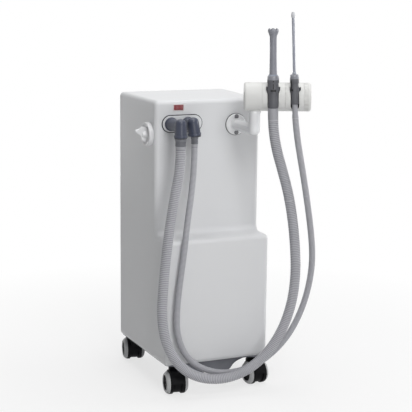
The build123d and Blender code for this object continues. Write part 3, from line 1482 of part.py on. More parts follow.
# Hoses, each from its cuff down past the casters and up to its handpiece.
# They end level, so that the handpieces' hose ends pass over them as the holder swivels.
large_top = large_base.offset(LARGE_HOSE_TOP)
small_top = small_base.offset(SMALL_HOSE_TOP)
large_points = (
    [large_leg, large_leg - UP * HOSE_FIRST_RUN]
    + [at(*place) for place in LARGE_HOSE_ROUTE]
    + [large_top.origin]
)
small_points = (
    [small_leg, small_leg - UP * HOSE_FIRST_RUN]
    + [at(*place) for place in SMALL_HOSE_ROUTE]
    + [small_top.origin]
)
with BuildPart() as hve_hose:
    large_length = tube(large_points, bend_radii(large_points), LARGE_HOSE_RADIUS)
    split(bisect_by=level(large_top.origin.Z - HOSE_END_TRIM), keep=Keep.BOTTOM)
hve_hose.part.label = "hve_hose"
export_step(hve_hose.part, "parts/hve_hose.step")

with BuildPart() as se_hose:
    small_length = tube(small_points, bend_radii(small_points), SMALL_HOSE_RADIUS)
    split(bisect_by=level(small_top.origin.Z - HOSE_END_TRIM), keep=Keep.BOTTOM)
se_hose.part.label = "se_hose"
export_step(se_hose.part, "parts/se_hose.step")

for name, points, length, radius, hose in (
    ("large hose", large_points, large_length, LARGE_HOSE_RADIUS, hve_hose),
    ("small hose", small_points, small_length, SMALL_HOSE_RADIUS, se_hose),
):
    filled = hose.part.volume / (length * pi * radius * radius)
    print(name, "length", round(length, 1), "volume share", round(filled, 4))
    print("bend radii", [round(value, 1) for value in bend_radii(points)])
    print("route", [[round(value, 2) for value in (p.X, p.Y, p.Z)] for p in points])

# Hose ends that go into the handpieces, cut level just above the hoses
with BuildPart() as hve_hose_tail:
    bar(
        large_top.offset(-HOSE_TAIL_SPARE),
        LARGE_HOSE_RADIUS,
        LARGE_GRIP_BOTTOM - LARGE_HOSE_TOP + HOSE_TAIL_SPARE,
    )
    large_tail_bottom = large_top.origin.Z - HOSE_END_TRIM + HOSE_TAIL_GAP
    split(bisect_by=level(large_tail_bottom), keep=Keep.TOP)
hve_hose_tail.part.label = "hve_hose_tail"
export_step(hve_hose_tail.part, "parts/hve_hose_tail.step")

with BuildPart() as se_hose_tail:
    bar(
        small_top.offset(-HOSE_TAIL_SPARE),
        SMALL_HOSE_RADIUS,
        SMALL_GRIP_BOTTOM - SMALL_HOSE_TOP + HOSE_TAIL_SPARE,
    )
    small_tail_bottom = small_top.origin.Z - HOSE_END_TRIM + HOSE_TAIL_GAP
    split(bisect_by=level(small_tail_bottom), keep=Keep.TOP)
se_hose_tail.part.label = "se_hose_tail"
export_step(se_hose_tail.part, "parts/se_hose_tail.step")

# Mains inlet with three contact pins
inlet_front = COVER_DEPTH + PANEL_THICKNESS
with BuildPart() as power_inlet:
    with BuildSketch(panel_face):
        with Locations((-INLET_X, INLET_HEIGHT)):
            RectangleRounded(
                INLET_WIDTH + 2 * INLET_FLANGE,
                INLET_RISE + 2 * INLET_FLANGE,
                INLET_FLANGE,
            )
    extrude(amount=INLET_WALL)
    with BuildSketch(panel_face):
        with Locations((-INLET_X, INLET_HEIGHT)):
            Rectangle(INLET_WIDTH, INLET_RISE)
    extrude(amount=-INLET_DEPTH)
    with BuildSketch(panel_face.offset(INLET_WALL)):
        with Locations((-INLET_X, INLET_HEIGHT)):
            Rectangle(INLET_WIDTH - 2 * INLET_WALL, INLET_RISE - 2 * INLET_WALL)
    extrude(amount=-INLET_RECESS - INLET_WALL, mode=Mode.SUBTRACT)
    with BuildSketch(panel_face.offset(-INLET_RECESS)):
        with Locations(
            (-INLET_X - PIN_SPACING, INLET_HEIGHT - PIN_DROP),
            (-INLET_X, INLET_HEIGHT + PIN_DROP),
            (-INLET_X + PIN_SPACING, INLET_HEIGHT - PIN_DROP),
        ):
            Rectangle(PIN_THICKNESS, 2 * PIN_THICKNESS)
    extrude(amount=PIN_LENGTH)
power_inlet.part.label = "power_inlet"
export_step(power_inlet.part, "parts/power_inlet.step")

# Outlets on the back: exhaust air and drain
with BuildPart() as exhaust_outlet:
    bar(
        Plane(origin=at(SILENCER_X, COVER_DEPTH, SILENCER_HEIGHT), z_dir=BACKWARD),
        EXHAUST_NECK_RADIUS,
        PANEL_THICKNESS,
    )
    turn(
        lathe(at(SILENCER_X, inlet_front, SILENCER_HEIGHT), BACKWARD),
        [
            (0, 0),
            (EXHAUST_RADIUS + OUTLET_FLANGE, 0),
            (EXHAUST_RADIUS + OUTLET_FLANGE, PANEL_THICKNESS),
            (EXHAUST_RADIUS, PANEL_THICKNESS),
            (EXHAUST_RADIUS, EXHAUST_REACH),
            (0, EXHAUST_REACH),
        ],
    )
    bar(
        Plane(origin=at(SILENCER_X, COVER_DEPTH, SILENCER_HEIGHT), z_dir=BACKWARD),
        EXHAUST_BORE,
        BACK_REACH - COVER_DEPTH,
        Mode.SUBTRACT,
    )
exhaust_outlet.part.label = "exhaust_outlet"
export_step(exhaust_outlet.part, "parts/exhaust_outlet.step")

with BuildPart() as drain_outlet:
    bar(
        Plane(origin=at(0, COVER_DEPTH, DRAIN_HEIGHT), z_dir=BACKWARD),
        DRAIN_RADIUS,
        PANEL_THICKNESS,
    )
    turn(
        lathe(at(0, inlet_front, DRAIN_HEIGHT), BACKWARD),
        [
            (0, 0),
            (DRAIN_RADIUS + OUTLET_FLANGE, 0),
            (DRAIN_RADIUS + OUTLET_FLANGE, PANEL_THICKNESS),
            (DRAIN_RADIUS, PANEL_THICKNESS),
            (DRAIN_RADIUS, DRAIN_REACH),
            (0, DRAIN_REACH),
        ],
    )
    bar(
        Plane(origin=at(0, COVER_DEPTH, DRAIN_HEIGHT), z_dir=BACKWARD),
        DRAIN_BORE,
        PANEL_THICKNESS + DRAIN_REACH,
        Mode.SUBTRACT,
    )
drain_outlet.part.label = "drain_outlet"
export_step(drain_outlet.part, "parts/drain_outlet.step")

# Screws for the arm flange and the back panel
screw_section = [
    (0, -SCREW_LENGTH),
    (SCREW_RADIUS, -SCREW_LENGTH),
    (SCREW_RADIUS, 0),
    (SCREW_HEAD_RADIUS, 0),
    (SCREW_HEAD_RADIUS, SCREW_HEAD_HEIGHT * 0.5),
    (SCREW_HEAD_RADIUS * 0.75, SCREW_HEAD_HEIGHT),
    (SCREW_SOCKET_RADIUS, SCREW_HEAD_HEIGHT),
    (SCREW_SOCKET_RADIUS, SCREW_HEAD_HEIGHT * 0.35),
    (0, SCREW_HEAD_HEIGHT * 0.35),
]
flange_front = LEDGE_DEPTH - FLANGE_THICKNESS
with BuildPart() as screws:
    for x, z in flange_screw_spots:
        turn(lathe(at(x, flange_front, z), -BACKWARD), screw_section)
    for x, z in panel_screw_spots:
        turn(lathe(at(x, inlet_front, z), BACKWARD), screw_section)
screws.part.label = "screws"
export_step(screws.part, "parts/screws.step")


# Casters: name, stem place, direction of the trail and turn of the axle in degrees
front_stem_x = half_width(CASTER_INSET_END) - CASTER_INSET_SIDE
back_stem_y = COVER_DEPTH - CASTER_INSET_END
back_stem_x = half_width(back_stem_y) - CASTER_INSET_SIDE
casters = [
    ("front_left", -front_stem_x, CASTER_INSET_END, -1, -6.3),
    ("front_right", front_stem_x, CASTER_INSET_END, -1, 6.7),
    ("back_left", -back_stem_x, back_stem_y, 1, -10.0),
    ("back_right", back_stem_x, back_stem_y, 1, 8.0),
]
stem_top = COVER_BOTTOM - BASE_THICKNESS
plate_bottom = stem_top - CASTER_PLATE_THICKNESS
with BuildPart() as caster_plates:
    for name, x, y, way, degrees_turned in casters:
        bar(Plane(origin=at(x, y, stem_top)), CASTER_PLATE_SIZE / 2, -CASTER_PLATE_THICKNESS)
        bar(Plane(origin=at(x, y, plate_bottom)), KINGPIN_RADIUS, -KINGPIN_LENGTH)
caster_plates.part.label = "caster_plates"
export_step(caster_plates.part, "parts/caster_plates.step")

fender_inside = WHEEL_RADIUS + FENDER_GAP
fender_outside = fender_inside + FENDER_THICKNESS
caster_half = WHEEL_GAP / 2 + WHEEL_WIDTH
web_half = WHEEL_GAP / 2 - SMALL_GAP
hood_top = plate_bottom - SMALL_GAP
for name, x, y, way, degrees_turned in casters:
    angle = radians(degrees_turned)
    axle_way = Vector(cos(angle), sin(angle), 0)
    trail_way = Vector(-sin(angle), cos(angle), 0) * way
    hub = at(x, y, WHEEL_RADIUS) + trail_way * CASTER_TRAIL
    side_view = Plane(origin=hub, x_dir=trail_way, z_dir=trail_way.cross(UP))
    with BuildPart() as caster_hood:
        with BuildSketch(side_view):
            Circle(fender_outside)
            with Locations((0, -fender_outside)):
                Rectangle(2 * fender_outside, 2 * fender_outside, mode=Mode.SUBTRACT)
        extrude(amount=caster_half, both=True)
        bar(Plane(origin=at(x, y, hood_top)), HOOD_BOSS_RADIUS, -HOOD_BOSS_HEIGHT)
        with BuildSketch(side_view.offset(web_half)):
            Circle(fender_inside)
        extrude(amount=caster_half, mode=Mode.SUBTRACT)
        with BuildSketch(side_view.offset(-web_half)):
            Circle(fender_inside)
        extrude(amount=-caster_half, mode=Mode.SUBTRACT)
        with BuildSketch(side_view):
            Circle(HOOD_WEB_RADIUS)
            with Locations((-CASTER_TRAIL, 0)):
                Rectangle(HOOD_WEB_RADIUS, hood_top - WHEEL_RADIUS, align=(Align.CENTER, Align.MIN))
        extrude(amount=web_half, both=True)
        bar(
            Plane(origin=at(x, y, hood_top)),
            KINGPIN_RADIUS + FIT_GAP,
            -KINGPIN_LENGTH,
            Mode.SUBTRACT,
        )
        with BuildSketch(side_view):
            Circle(AXLE_RADIUS)
        extrude(amount=caster_half - WHEEL_DISH_DEPTH, both=True)
    caster_hood.part.label = "hood_" + name
    export_step(caster_hood.part, "parts/hood_" + name + ".step")
    for side, side_name in ((-1, "left"), (1, "right")):
        outward = axle_way * side
        inner_face = hub + outward * (WHEEL_GAP / 2)
        with BuildPart() as wheel:
            turn(
                lathe(inner_face, outward),
                [
                    (AXLE_RADIUS + FIT_GAP, 0),
                    (WHEEL_RADIUS - WHEEL_SHOULDER_RADIUS, 0),
                    (WHEEL_RADIUS - WHEEL_SHOULDER_RADIUS * 0.3, WHEEL_SHOULDER_RADIUS * 0.3),
                    (WHEEL_RADIUS, WHEEL_SHOULDER_RADIUS),
                    (WHEEL_RADIUS, WHEEL_WIDTH - WHEEL_SHOULDER_RADIUS),
                    (
                        WHEEL_RADIUS - WHEEL_SHOULDER_RADIUS * 0.3,
                        WHEEL_WIDTH - WHEEL_SHOULDER_RADIUS * 0.3,
                    ),
                    (WHEEL_RADIUS - WHEEL_SHOULDER_RADIUS, WHEEL_WIDTH),
                    (WHEEL_DISH_RADIUS, WHEEL_WIDTH),
                    (WHEEL_DISH_RADIUS - 1, WHEEL_WIDTH - WHEEL_DISH_DEPTH),
                    (WHEEL_HUB_RADIUS + 1, WHEEL_WIDTH - WHEEL_DISH_DEPTH),
                    (WHEEL_HUB_RADIUS, WHEEL_WIDTH - 1),
                    (AXLE_RADIUS + FIT_GAP, WHEEL_WIDTH - 1),
                ],
            )
        label = "wheel_" + name + "_" + side_name
        wheel.part.label = label
        export_step(wheel.part, "parts/" + label + ".step")

print("origin shift", round(ORIGIN_X, 3), round(ORIGIN_Y, 3))
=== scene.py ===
"""Looks of a mobile dental suction unit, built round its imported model."""

from __future__ import annotations

import json
import logging
import math
from dataclasses import dataclass, field
from enum import Enum

import bpy
from mathutils import Matrix, Vector

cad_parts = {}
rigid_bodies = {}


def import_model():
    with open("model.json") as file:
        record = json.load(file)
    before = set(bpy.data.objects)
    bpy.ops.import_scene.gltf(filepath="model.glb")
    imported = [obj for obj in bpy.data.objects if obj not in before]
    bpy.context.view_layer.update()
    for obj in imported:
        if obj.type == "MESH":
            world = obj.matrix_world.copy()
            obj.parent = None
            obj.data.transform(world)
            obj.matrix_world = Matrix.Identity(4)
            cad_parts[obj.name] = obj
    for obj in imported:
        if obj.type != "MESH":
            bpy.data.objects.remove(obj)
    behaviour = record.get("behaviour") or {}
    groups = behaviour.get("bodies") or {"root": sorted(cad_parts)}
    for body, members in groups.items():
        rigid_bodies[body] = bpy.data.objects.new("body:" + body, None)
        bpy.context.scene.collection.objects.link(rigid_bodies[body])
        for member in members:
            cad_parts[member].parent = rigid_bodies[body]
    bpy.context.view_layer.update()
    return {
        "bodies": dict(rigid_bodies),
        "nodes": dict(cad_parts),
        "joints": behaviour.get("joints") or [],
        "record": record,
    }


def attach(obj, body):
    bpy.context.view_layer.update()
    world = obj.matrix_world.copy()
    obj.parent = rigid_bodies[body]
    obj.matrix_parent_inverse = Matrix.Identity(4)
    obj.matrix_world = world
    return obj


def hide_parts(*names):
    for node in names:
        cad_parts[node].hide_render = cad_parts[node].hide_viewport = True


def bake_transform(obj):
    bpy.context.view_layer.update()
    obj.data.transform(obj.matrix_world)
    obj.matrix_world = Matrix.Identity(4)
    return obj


LOG = logging.getLogger("suction_unit")

MM = 0.001
SHIFT = Vector((15.834, 116.556, 0.0))
UP = Vector((0.0, 0.0, 1.0))
FORWARD = Vector((0.0, -1.0, 0.0))
BACKWARD = Vector((0.0, 1.0, 0.0))
RIGHT = Vector((1.0, 0.0, 0.0))
ORIGIN = Vector((0.0, 0.0, 0.0))

Profile = list[tuple[float, float]]
Colour = tuple[float, float, float]


def at(x: float, y: float, z: float) -> Vector:
    """Place in the row frame from cabinet millimetres.

    Args:
        x: distance from the cabinet's centre line.
        y: distance back from the lower front face.
        z: height over the floor.

    Returns:
        The place in metres.
    """
    return (Vector((x, y, z)) - SHIFT) * MM


# The cover's upper face, how far its sides flare behind it, and over what depth.
FACE_Y, FACE_HALF, FLARE, DEPTH = 77.0, 145.0, 10.0, 253.0


def half_width(y: float) -> float:
    """Half the cover's width, in millimetres, at a distance back from its lower front face."""
    return FACE_HALF + (y - FACE_Y) * FLARE / DEPTH


# The holder: its arm, the drum that turns on it and the handpieces in front of the drum.
POST = (77.0, -37.5)
DRUM_HEIGHT = 763.5
HANG_REACH = 31.0
TURN = math.radians(22.8)
ALONG = Vector((math.cos(TURN), -math.sin(TURN), 0.0))
TO_FRONT = Vector((-math.sin(TURN), -math.cos(TURN), 0.0))
DRUM_CENTRE = at(*POST, DRUM_HEIGHT)
WALL_TILT = math.atan(FLARE / DEPTH)
WALL_OUTWARD = Vector((-math.cos(WALL_TILT), -math.sin(WALL_TILT), 0.0))


@dataclass(frozen=True)
class Hang:
    """Axis that a handpiece hangs on.

    Attributes:
        along: distance along the drum in millimetres, where the axis passes its middle.
        lean: lean back along the drum in degrees.
    """

    along: float
    lean: float

    @property
    def axis(self) -> Vector:
        """Way that the axis runs up."""
        angle = math.radians(self.lean)
        return UP * math.cos(angle) - ALONG * math.sin(angle)

    @property
    def side(self) -> Vector:
        """Way across the axis, to the drum's right end."""
        angle = math.radians(self.lean)
        return ALONG * math.cos(angle) + UP * math.sin(angle)

    def point(self, height: float) -> Vector:
        """Point on the axis, from its distance up from the foot in millimetres."""
        seat = DRUM_CENTRE + (ALONG * self.along + TO_FRONT * HANG_REACH) * MM
        return seat + self.axis * (height - DRUM_HEIGHT) * MM

    def stand(self, piece: bpy.types.Object, turn: float = 0.0) -> None:
        """Move a piece made about +Z onto the axis.

        Args:
            piece: the piece, whose -Y goes to the front.
            turn: turn about the axis in degrees.
        """
        side = Matrix.Rotation(math.radians(turn), 4, self.axis) @ self.side
        Bench.stand(piece, self.point(0.0), self.axis, side)

    def dress(
        self, piece: bpy.types.Object, turn: float = 0.0, shade: Shade | None = None
    ) -> bpy.types.Object:
        """Stand a piece on the axis, smooth it and return it.

        Args:
            piece: the piece, made about +Z.
            turn: turn about the axis in degrees.
            shade: the angle over which edges stay sharp.

        Returns:
            The same piece.
        """
        self.stand(piece, turn)
        Bench.smooth(piece, shade or Shade.MOULDED)
        return piece


# Where each elbow's leg stands, and where its cuff ends.
WIDE_LEG, THIN_LEG, CUFF_BOTTOM = (-103.0, 5.6), (-54.0, 35.0), 641.0
WIDE_HANG = Hang(43.6, 1.0)
THIN_HANG = Hang(97.0, 2.5)


# Mesh work


class Shade(Enum):
    """How a mesh is smoothed: the angle over which an edge stays sharp."""

    SOFT = 50.0
    MOULDED = 35.0
    CRISP = 24.0


class Bench:
    """Modelling steps that the pieces share."""

    @staticmethod
    def clear() -> None:
        """Deselect everything, in object mode."""
        if bpy.context.object and bpy.context.object.mode != "OBJECT":
            bpy.ops.object.mode_set(mode="OBJECT")
        bpy.ops.object.select_all(action="DESELECT")

    @staticmethod
    def take(piece: bpy.types.Object) -> bpy.types.Object:
        """Make one piece the only selected and the active one."""
        Bench.clear()
        piece.select_set(True)
        bpy.context.view_layer.objects.active = piece
        return piece

    @staticmethod
    def named(name: str) -> bpy.types.Object:
        """Give the active object and its mesh a name."""
        piece = bpy.context.object
        piece.name = name
        piece.data.name = name
        return piece

    @staticmethod
    def edit(piece: bpy.types.Object, mode: str = "VERT") -> None:
        """Enter edit mode on a piece with nothing selected."""
        Bench.take(piece)
        bpy.ops.object.mode_set(mode="EDIT")
        bpy.ops.mesh.select_mode(type=mode)
        bpy.ops.mesh.select_all(action="DESELECT")

    @staticmethod
    def edit_all(piece: bpy.types.Object) -> None:
        """Enter edit mode on a piece with everything selected."""
        Bench.edit(piece)
        bpy.ops.mesh.select_all(action="SELECT")

    @staticmethod
    def apply() -> None:
        """Write the active piece's place, turn and scale into its mesh."""
        bpy.ops.object.transform_apply(location=True, rotation=True, scale=True)

    @staticmethod
    def leave() -> None:
        """Go back to object mode."""
        bpy.ops.object.mode_set(mode="OBJECT")

    @staticmethod
    def revolve(
        name: str, profile: Profile, sides: int = 64, ring: bool = False
    ) -> bpy.types.Object:
        """Turned piece about +Z at the origin, extruded station by station.

        Args:
            name: name of the piece.
            profile: radius and height of each station, in millimetres.
            sides: faces round the piece.
            ring: True where the last station joins the first, for a hollow piece.

        Returns:
            The new piece.
        """
        Bench.clear()
        first, level = profile[0]
        fill = "NOTHING" if ring else "NGON"
        bpy.ops.mesh.primitive_circle_add(
            vertices=sides, radius=first * MM, fill_type=fill, location=(0.0, 0.0, level * MM)
        )
        piece = Bench.named(name)
        Bench.clear()
        Bench.take(piece)
        Bench.apply()
        bpy.ops.object.mode_set(mode="EDIT")
        bpy.ops.mesh.select_mode(type="VERT")
        bpy.ops.mesh.select_all(action="SELECT")
        radius = first
        for next_radius, next_level in profile[1:]:
            bpy.ops.mesh.extrude_region_move(
                TRANSFORM_OT_translate={"value": (0.0, 0.0, (next_level - level) * MM)}
            )
            share = next_radius / radius
            bpy.ops.transform.resize(
                value=(share, share, 1.0), center_override=(0.0, 0.0, next_level * MM)
            )
            radius, level = next_radius, next_level
        if ring:
            bpy.ops.mesh.extrude_region_move(
                TRANSFORM_OT_translate={"value": (0.0, 0.0, (profile[0][1] - level) * MM)}
            )
            share = first / radius
            bpy.ops.transform.resize(
                value=(share, share, 1.0), center_override=(0.0, 0.0, profile[0][1] * MM)
            )
        bpy.ops.mesh.select_all(action="SELECT")
        bpy.ops.mesh.remove_doubles(threshold=0.000002)
        bpy.ops.mesh.normals_make_consistent(inside=False)
        Bench.leave()
        return piece

    @staticmethod
    def box(name: str, low: Vector, high: Vector) -> bpy.types.Object:
        """Block between two corners, in metres."""
        Bench.clear()
        bpy.ops.mesh.primitive_cube_add(size=1.0, location=(low + high) / 2.0)
        piece = Bench.named(name)
        piece.scale = high - low
        Bench.apply()
        return piece

    @staticmethod
    def sheet(name: str, outline: Profile, depth: float) -> bpy.types.Object:
        """Flat piece with an outline in X and Z, pushed out towards -Y.

        Args:
            name: name of the piece.
            outline: corners in millimetres, in order.
            depth: thickness in millimetres.

        Returns:
            The new piece, with its back at Y = 0.
        """
        Bench.clear()
        bpy.ops.mesh.primitive_circle_add(vertices=len(outline), radius=MM, fill_type="NGON")
        piece = Bench.named(name)
        for corner, (x, z) in zip(piece.data.vertices, outline):
            corner.co = Vector((x, 0.0, z)) * MM
        Bench.edit_all(piece)
        bpy.ops.mesh.extrude_region_move(
            TRANSFORM_OT_translate={"value": (0.0, -depth * MM, 0.0)}
        )
        bpy.ops.mesh.select_all(action="SELECT")
        bpy.ops.mesh.normals_make_consistent(inside=False)
        Bench.leave()
        return piece

    @staticmethod
    def stand(
        piece: bpy.types.Object, place: Vector, along: Vector, side: Vector | None = None
    ) -> None:
        """Move a piece made about +Z so that its axis runs another way.

        Args:
            piece: the piece, at the origin.
            place: where its origin goes.
            along: where its +Z goes.
            side: where its +X goes, if that matters.
        """
        third = along.normalized()
        first = side.normalized() if side else third.orthogonal().normalized()
        second = third.cross(first)
        turn = Matrix((first, second, third)).transposed().to_4x4()
        Bench.take(piece)
        piece.matrix_world = Matrix.Translation(place) @ turn
        Bench.apply()

    @staticmethod
    def modify(piece: bpy.types.Object, kind: str, **settings: object) -> None:
        """Add a modifier with its settings and apply it."""
        Bench.take(piece)
        modifier = piece.modifiers.new("step", kind)
        for key, value in settings.items():
            setattr(modifier, key, value)
        bpy.ops.object.modifier_apply(modifier=modifier.name)

    @staticmethod
    def cut(piece: bpy.types.Object, *tools: bpy.types.Object) -> None:
        """Cut tools out of a piece, and take the tools away."""
        for tool in tools:
            Bench.modify(piece, "BOOLEAN", operation="DIFFERENCE", object=tool, solver="EXACT")
            bpy.data.objects.remove(tool)

    @staticmethod
    def keep_inside(piece: bpy.types.Object, tool: bpy.types.Object) -> None:
        """Keep what lies inside a tool, and take the tool away."""
        Bench.modify(piece, "BOOLEAN", operation="INTERSECT", object=tool, solver="EXACT")
        bpy.data.objects.remove(tool)

    @staticmethod
    def fuse(piece: bpy.types.Object, *others: bpy.types.Object) -> None:
        """Fuse other pieces into a piece as one skin."""
        for other in others:
            Bench.modify(piece, "BOOLEAN", operation="UNION", object=other, solver="EXACT")
            bpy.data.objects.remove(other)

    @staticmethod
    def gather(piece: bpy.types.Object, others: list[bpy.types.Object]) -> None:
        """Join loose pieces into one object."""
        Bench.take(piece)
        for other in others:
            other.select_set(True)
        bpy.context.view_layer.objects.active = piece
        bpy.ops.object.join()

    @staticmethod
    def copy(piece: bpy.types.Object, name: str) -> bpy.types.Object:
        """Copy a piece with a mesh of its own."""
        twin = piece.copy()
        twin.data = piece.data.copy()
        twin.name = name
        twin.data.name = name
        bpy.context.collection.objects.link(twin)
        return twin

    @staticmethod
    def round_edges(
        piece: bpy.types.Object, width: float, steps: int = 3, over: float = 30.0
    ) -> None:
        """Round the edges that are sharper than an angle.

        Args:
            piece: the piece.
            width: width of the rounding in millimetres.
            steps: segments across the rounding.
            over: angle in degrees.
        """
        Bench.modify(
            piece,
            "BEVEL",
            width=width * MM,
            segments=steps,
            limit_method="ANGLE",
            angle_limit=math.radians(over),
            use_clamp_overlap=True,
            harden_normals=False,
        )

    @staticmethod
    def smooth(piece: bpy.types.Object, shade: Shade = Shade.MOULDED) -> None:
        """Turn faces outwards and shade them smooth up to an angle."""
        Bench.edit_all(piece)
        bpy.ops.mesh.normals_make_consistent(inside=False)
        Bench.leave()
        Bench.take(piece)
        bpy.ops.object.shade_smooth_by_angle(angle=math.radians(shade.value))

    @staticmethod
    def melt(piece: bpy.types.Object, grain: float, passes: int) -> None:
        """Blend a fused shape's creases as a mould does.

        Args:
            piece: the piece.
            grain: size of the new mesh's faces in millimetres.
            passes: how many times it is smoothed.
        """
        Bench.modify(piece, "REMESH", mode="VOXEL", voxel_size=grain * MM, adaptivity=0.0)
        Bench.modify(piece, "SMOOTH", factor=0.5, iterations=passes)

    @staticmethod
    def node_copy(
        frame: dict, node: str, name: str, shade: Shade = Shade.MOULDED
    ) -> bpy.types.Object:
        """Copy a CAD node, merge its loose triangles and shade its curves smooth.

        Args:
            node: name of the node.
            name: name of the copy.
            shade: the angle over which edges stay sharp.

        Returns:
            The copy, which rides on nothing yet.
        """
        source = frame["nodes"][node]
        piece = bpy.data.objects.new(name, source.data.copy())
        piece.data.name = name
        bpy.context.collection.objects.link(piece)
        Bench.edit_all(piece)
        bpy.ops.mesh.remove_doubles(threshold=0.000005)
        bpy.ops.mesh.dissolve_limited(angle_limit=math.radians(0.4))
        Bench.leave()
        Bench.take(piece)
        bpy.ops.object.shade_smooth_by_angle(angle=math.radians(shade.value))
        Bench.modify(piece, "WEIGHTED_NORMAL", keep_sharp=True, weight=80)
        return piece


def settle(
    piece: bpy.types.Object,
    body: str,
    finish: Finish,
    slot: str,
    *nodes: str,
) -> bpy.types.Object:
    """Dress a finished piece and hang it on its body.

    Args:
        piece: the finished piece.
        body: the body it moves with.
        finish: its surface.
        slot: the record's material slot; not used.
        nodes: the CAD nodes that it stands for.

    Returns:
        The same piece.
    """
    piece.data.materials.clear()
    piece.data.materials.append(finish.build())
    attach(piece, body)
    if nodes:
        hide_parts(*nodes)
    LOG.info("%s rides on %s", piece.name, body)
    return piece


def deliver(
    piece: bpy.types.Object, body: str, finish: Finish, slot: str, *nodes: str
) -> bpy.types.Object:
    """Smooth a modelled piece and settle it."""
    Bench.smooth(piece)
    return settle(piece, body, finish, slot, *nodes)


# Finishes


def fill(node: bpy.types.Node, values: dict[str, object]) -> None:
    """Set a node's inputs by their names."""
    for key, value in values.items():
        node.inputs[key].default_value = value


def wire(tree: bpy.types.NodeTree, *rows: tuple) -> None:
    """Link nodes, each row being a node, its output, another node and its input."""
    for source, output, target, into in rows:
        tree.links.new(source.outputs[output], target.inputs[into])


class Group(Enum):
    """Shader effects that several finishes share."""

    TONE = "moulded_tone"
    GRAIN = "skin_grain"
    GRIME = "settled_grime"


class Effects:
    """Node groups, built once and placed in the materials."""

    @staticmethod
    def tree(group: Group) -> bpy.types.NodeTree:
        """Return a group's tree, and build it the first time."""
        found = bpy.data.node_groups.get(group.value)
        if found:
            return found
        builders = {
            Group.TONE: Effects.build_tone,
            Group.GRAIN: Effects.build_grain,
            Group.GRIME: Effects.build_grime,
        }
        return builders[group]()

    @staticmethod
    def blank(
        group: Group, inputs: list[tuple[str, str, object]], output: tuple[str, str]
    ) -> tuple:
        """Start a group with its sockets.

        Args:
            group: which group.
            inputs: name, socket type and default of each input.
            output: name and socket type of the output.

        Returns:
            The tree, its input node and its output node.
        """
        tree = bpy.data.node_groups.new(group.value, "ShaderNodeTree")
        for name, kind, default in inputs:
            socket = tree.interface.new_socket(name=name, in_out="INPUT", socket_type=kind)
            socket.default_value = default
        tree.interface.new_socket(name=output[0], in_out="OUTPUT", socket_type=output[1])
        return tree, tree.nodes.new("NodeGroupInput"), tree.nodes.new("NodeGroupOutput")

    @staticmethod
    def noise(tree: bpy.types.NodeTree, detail: float, rough: float) -> bpy.types.Node:
        """Add a noise texture that reads Object coordinates."""
        place = tree.nodes.new("ShaderNodeTexCoord")
        texture = tree.nodes.new("ShaderNodeTexNoise")
        fill(texture, {"Detail": detail, "Roughness": rough})
        tree.links.new(place.outputs["Object"], texture.inputs["Vector"])
        return texture

    @staticmethod
    def build_tone() -> bpy.types.NodeTree:
        """Build slow changes of tone, as in moulded plastic or paint."""
        tree, source, result = Effects.blank(
            Group.TONE,
            [
                ("Colour", "NodeSocketColor", (0.8, 0.8, 0.8, 1.0)),
                ("Second", "NodeSocketColor", (0.7, 0.7, 0.7, 1.0)),
                ("Scale", "NodeSocketFloat", 6.0),
                ("Amount", "NodeSocketFloat", 0.3),
            ],
            ("Colour", "NodeSocketColor"),
        )
        texture = Effects.noise(tree, 3.0, 0.55)
        span = tree.nodes.new("ShaderNodeMapRange")
        fill(span, {"From Min": 0.35, "From Max": 0.65})
        mix = tree.nodes.new("ShaderNodeMix")
        mix.data_type = "RGBA"
        wire(
            tree,
            (source, "Scale", texture, "Scale"),
            (texture, "Fac", span, "Value"),
            (source, "Amount", span, "To Max"),
            (span, "Result", mix, "Factor"),
            (source, "Colour", mix, "A"),
            (source, "Second", mix, "B"),
            (mix, "Result", result, "Colour"),
        )
        return tree

    @staticmethod
    def build_grain() -> bpy.types.NodeTree:
        """Build a fine height pattern for a Bump node."""
        tree, source, result = Effects.blank(
            Group.GRAIN,
            [("Scale", "NodeSocketFloat", 900.0), ("Contrast", "NodeSocketFloat", 1.0)],
            ("Height", "NodeSocketFloat"),
        )
        texture = Effects.noise(tree, 2.0, 0.5)
        sharpen = tree.nodes.new("ShaderNodeMath")
        sharpen.operation = "MULTIPLY"
        wire(
            tree,
            (source, "Scale", texture, "Scale"),
            (texture, "Fac", sharpen, 0),
            (source, "Contrast", sharpen, 1),
            (sharpen, "Value", result, "Height"),
        )
        return tree

    @staticmethod
    def build_grime() -> bpy.types.NodeTree:
        """Build a roughness that changes where hands and cloths have been."""
        tree, source, result = Effects.blank(
            Group.GRIME,
            [
                ("Roughness", "NodeSocketFloat", 0.4),
                ("Spread", "NodeSocketFloat", 0.08),
                ("Scale", "NodeSocketFloat", 18.0),
            ],
            ("Roughness", "NodeSocketFloat"),
        )
        texture = Effects.noise(tree, 5.0, 0.6)
        centre = tree.nodes.new("ShaderNodeMath")
        centre.operation = "SUBTRACT"
        centre.inputs[1].default_value = 0.5
        scale = tree.nodes.new("ShaderNodeMath")
        scale.operation = "MULTIPLY_ADD"
        wire(
            tree,
            (source, "Scale", texture, "Scale"),
            (texture, "Fac", centre, 0),
            (centre, "Value", scale, 0),
            (source, "Spread", scale, 1),
            (source, "Roughness", scale, 2),
            (scale, "Value", result, "Roughness"),
        )
        return tree


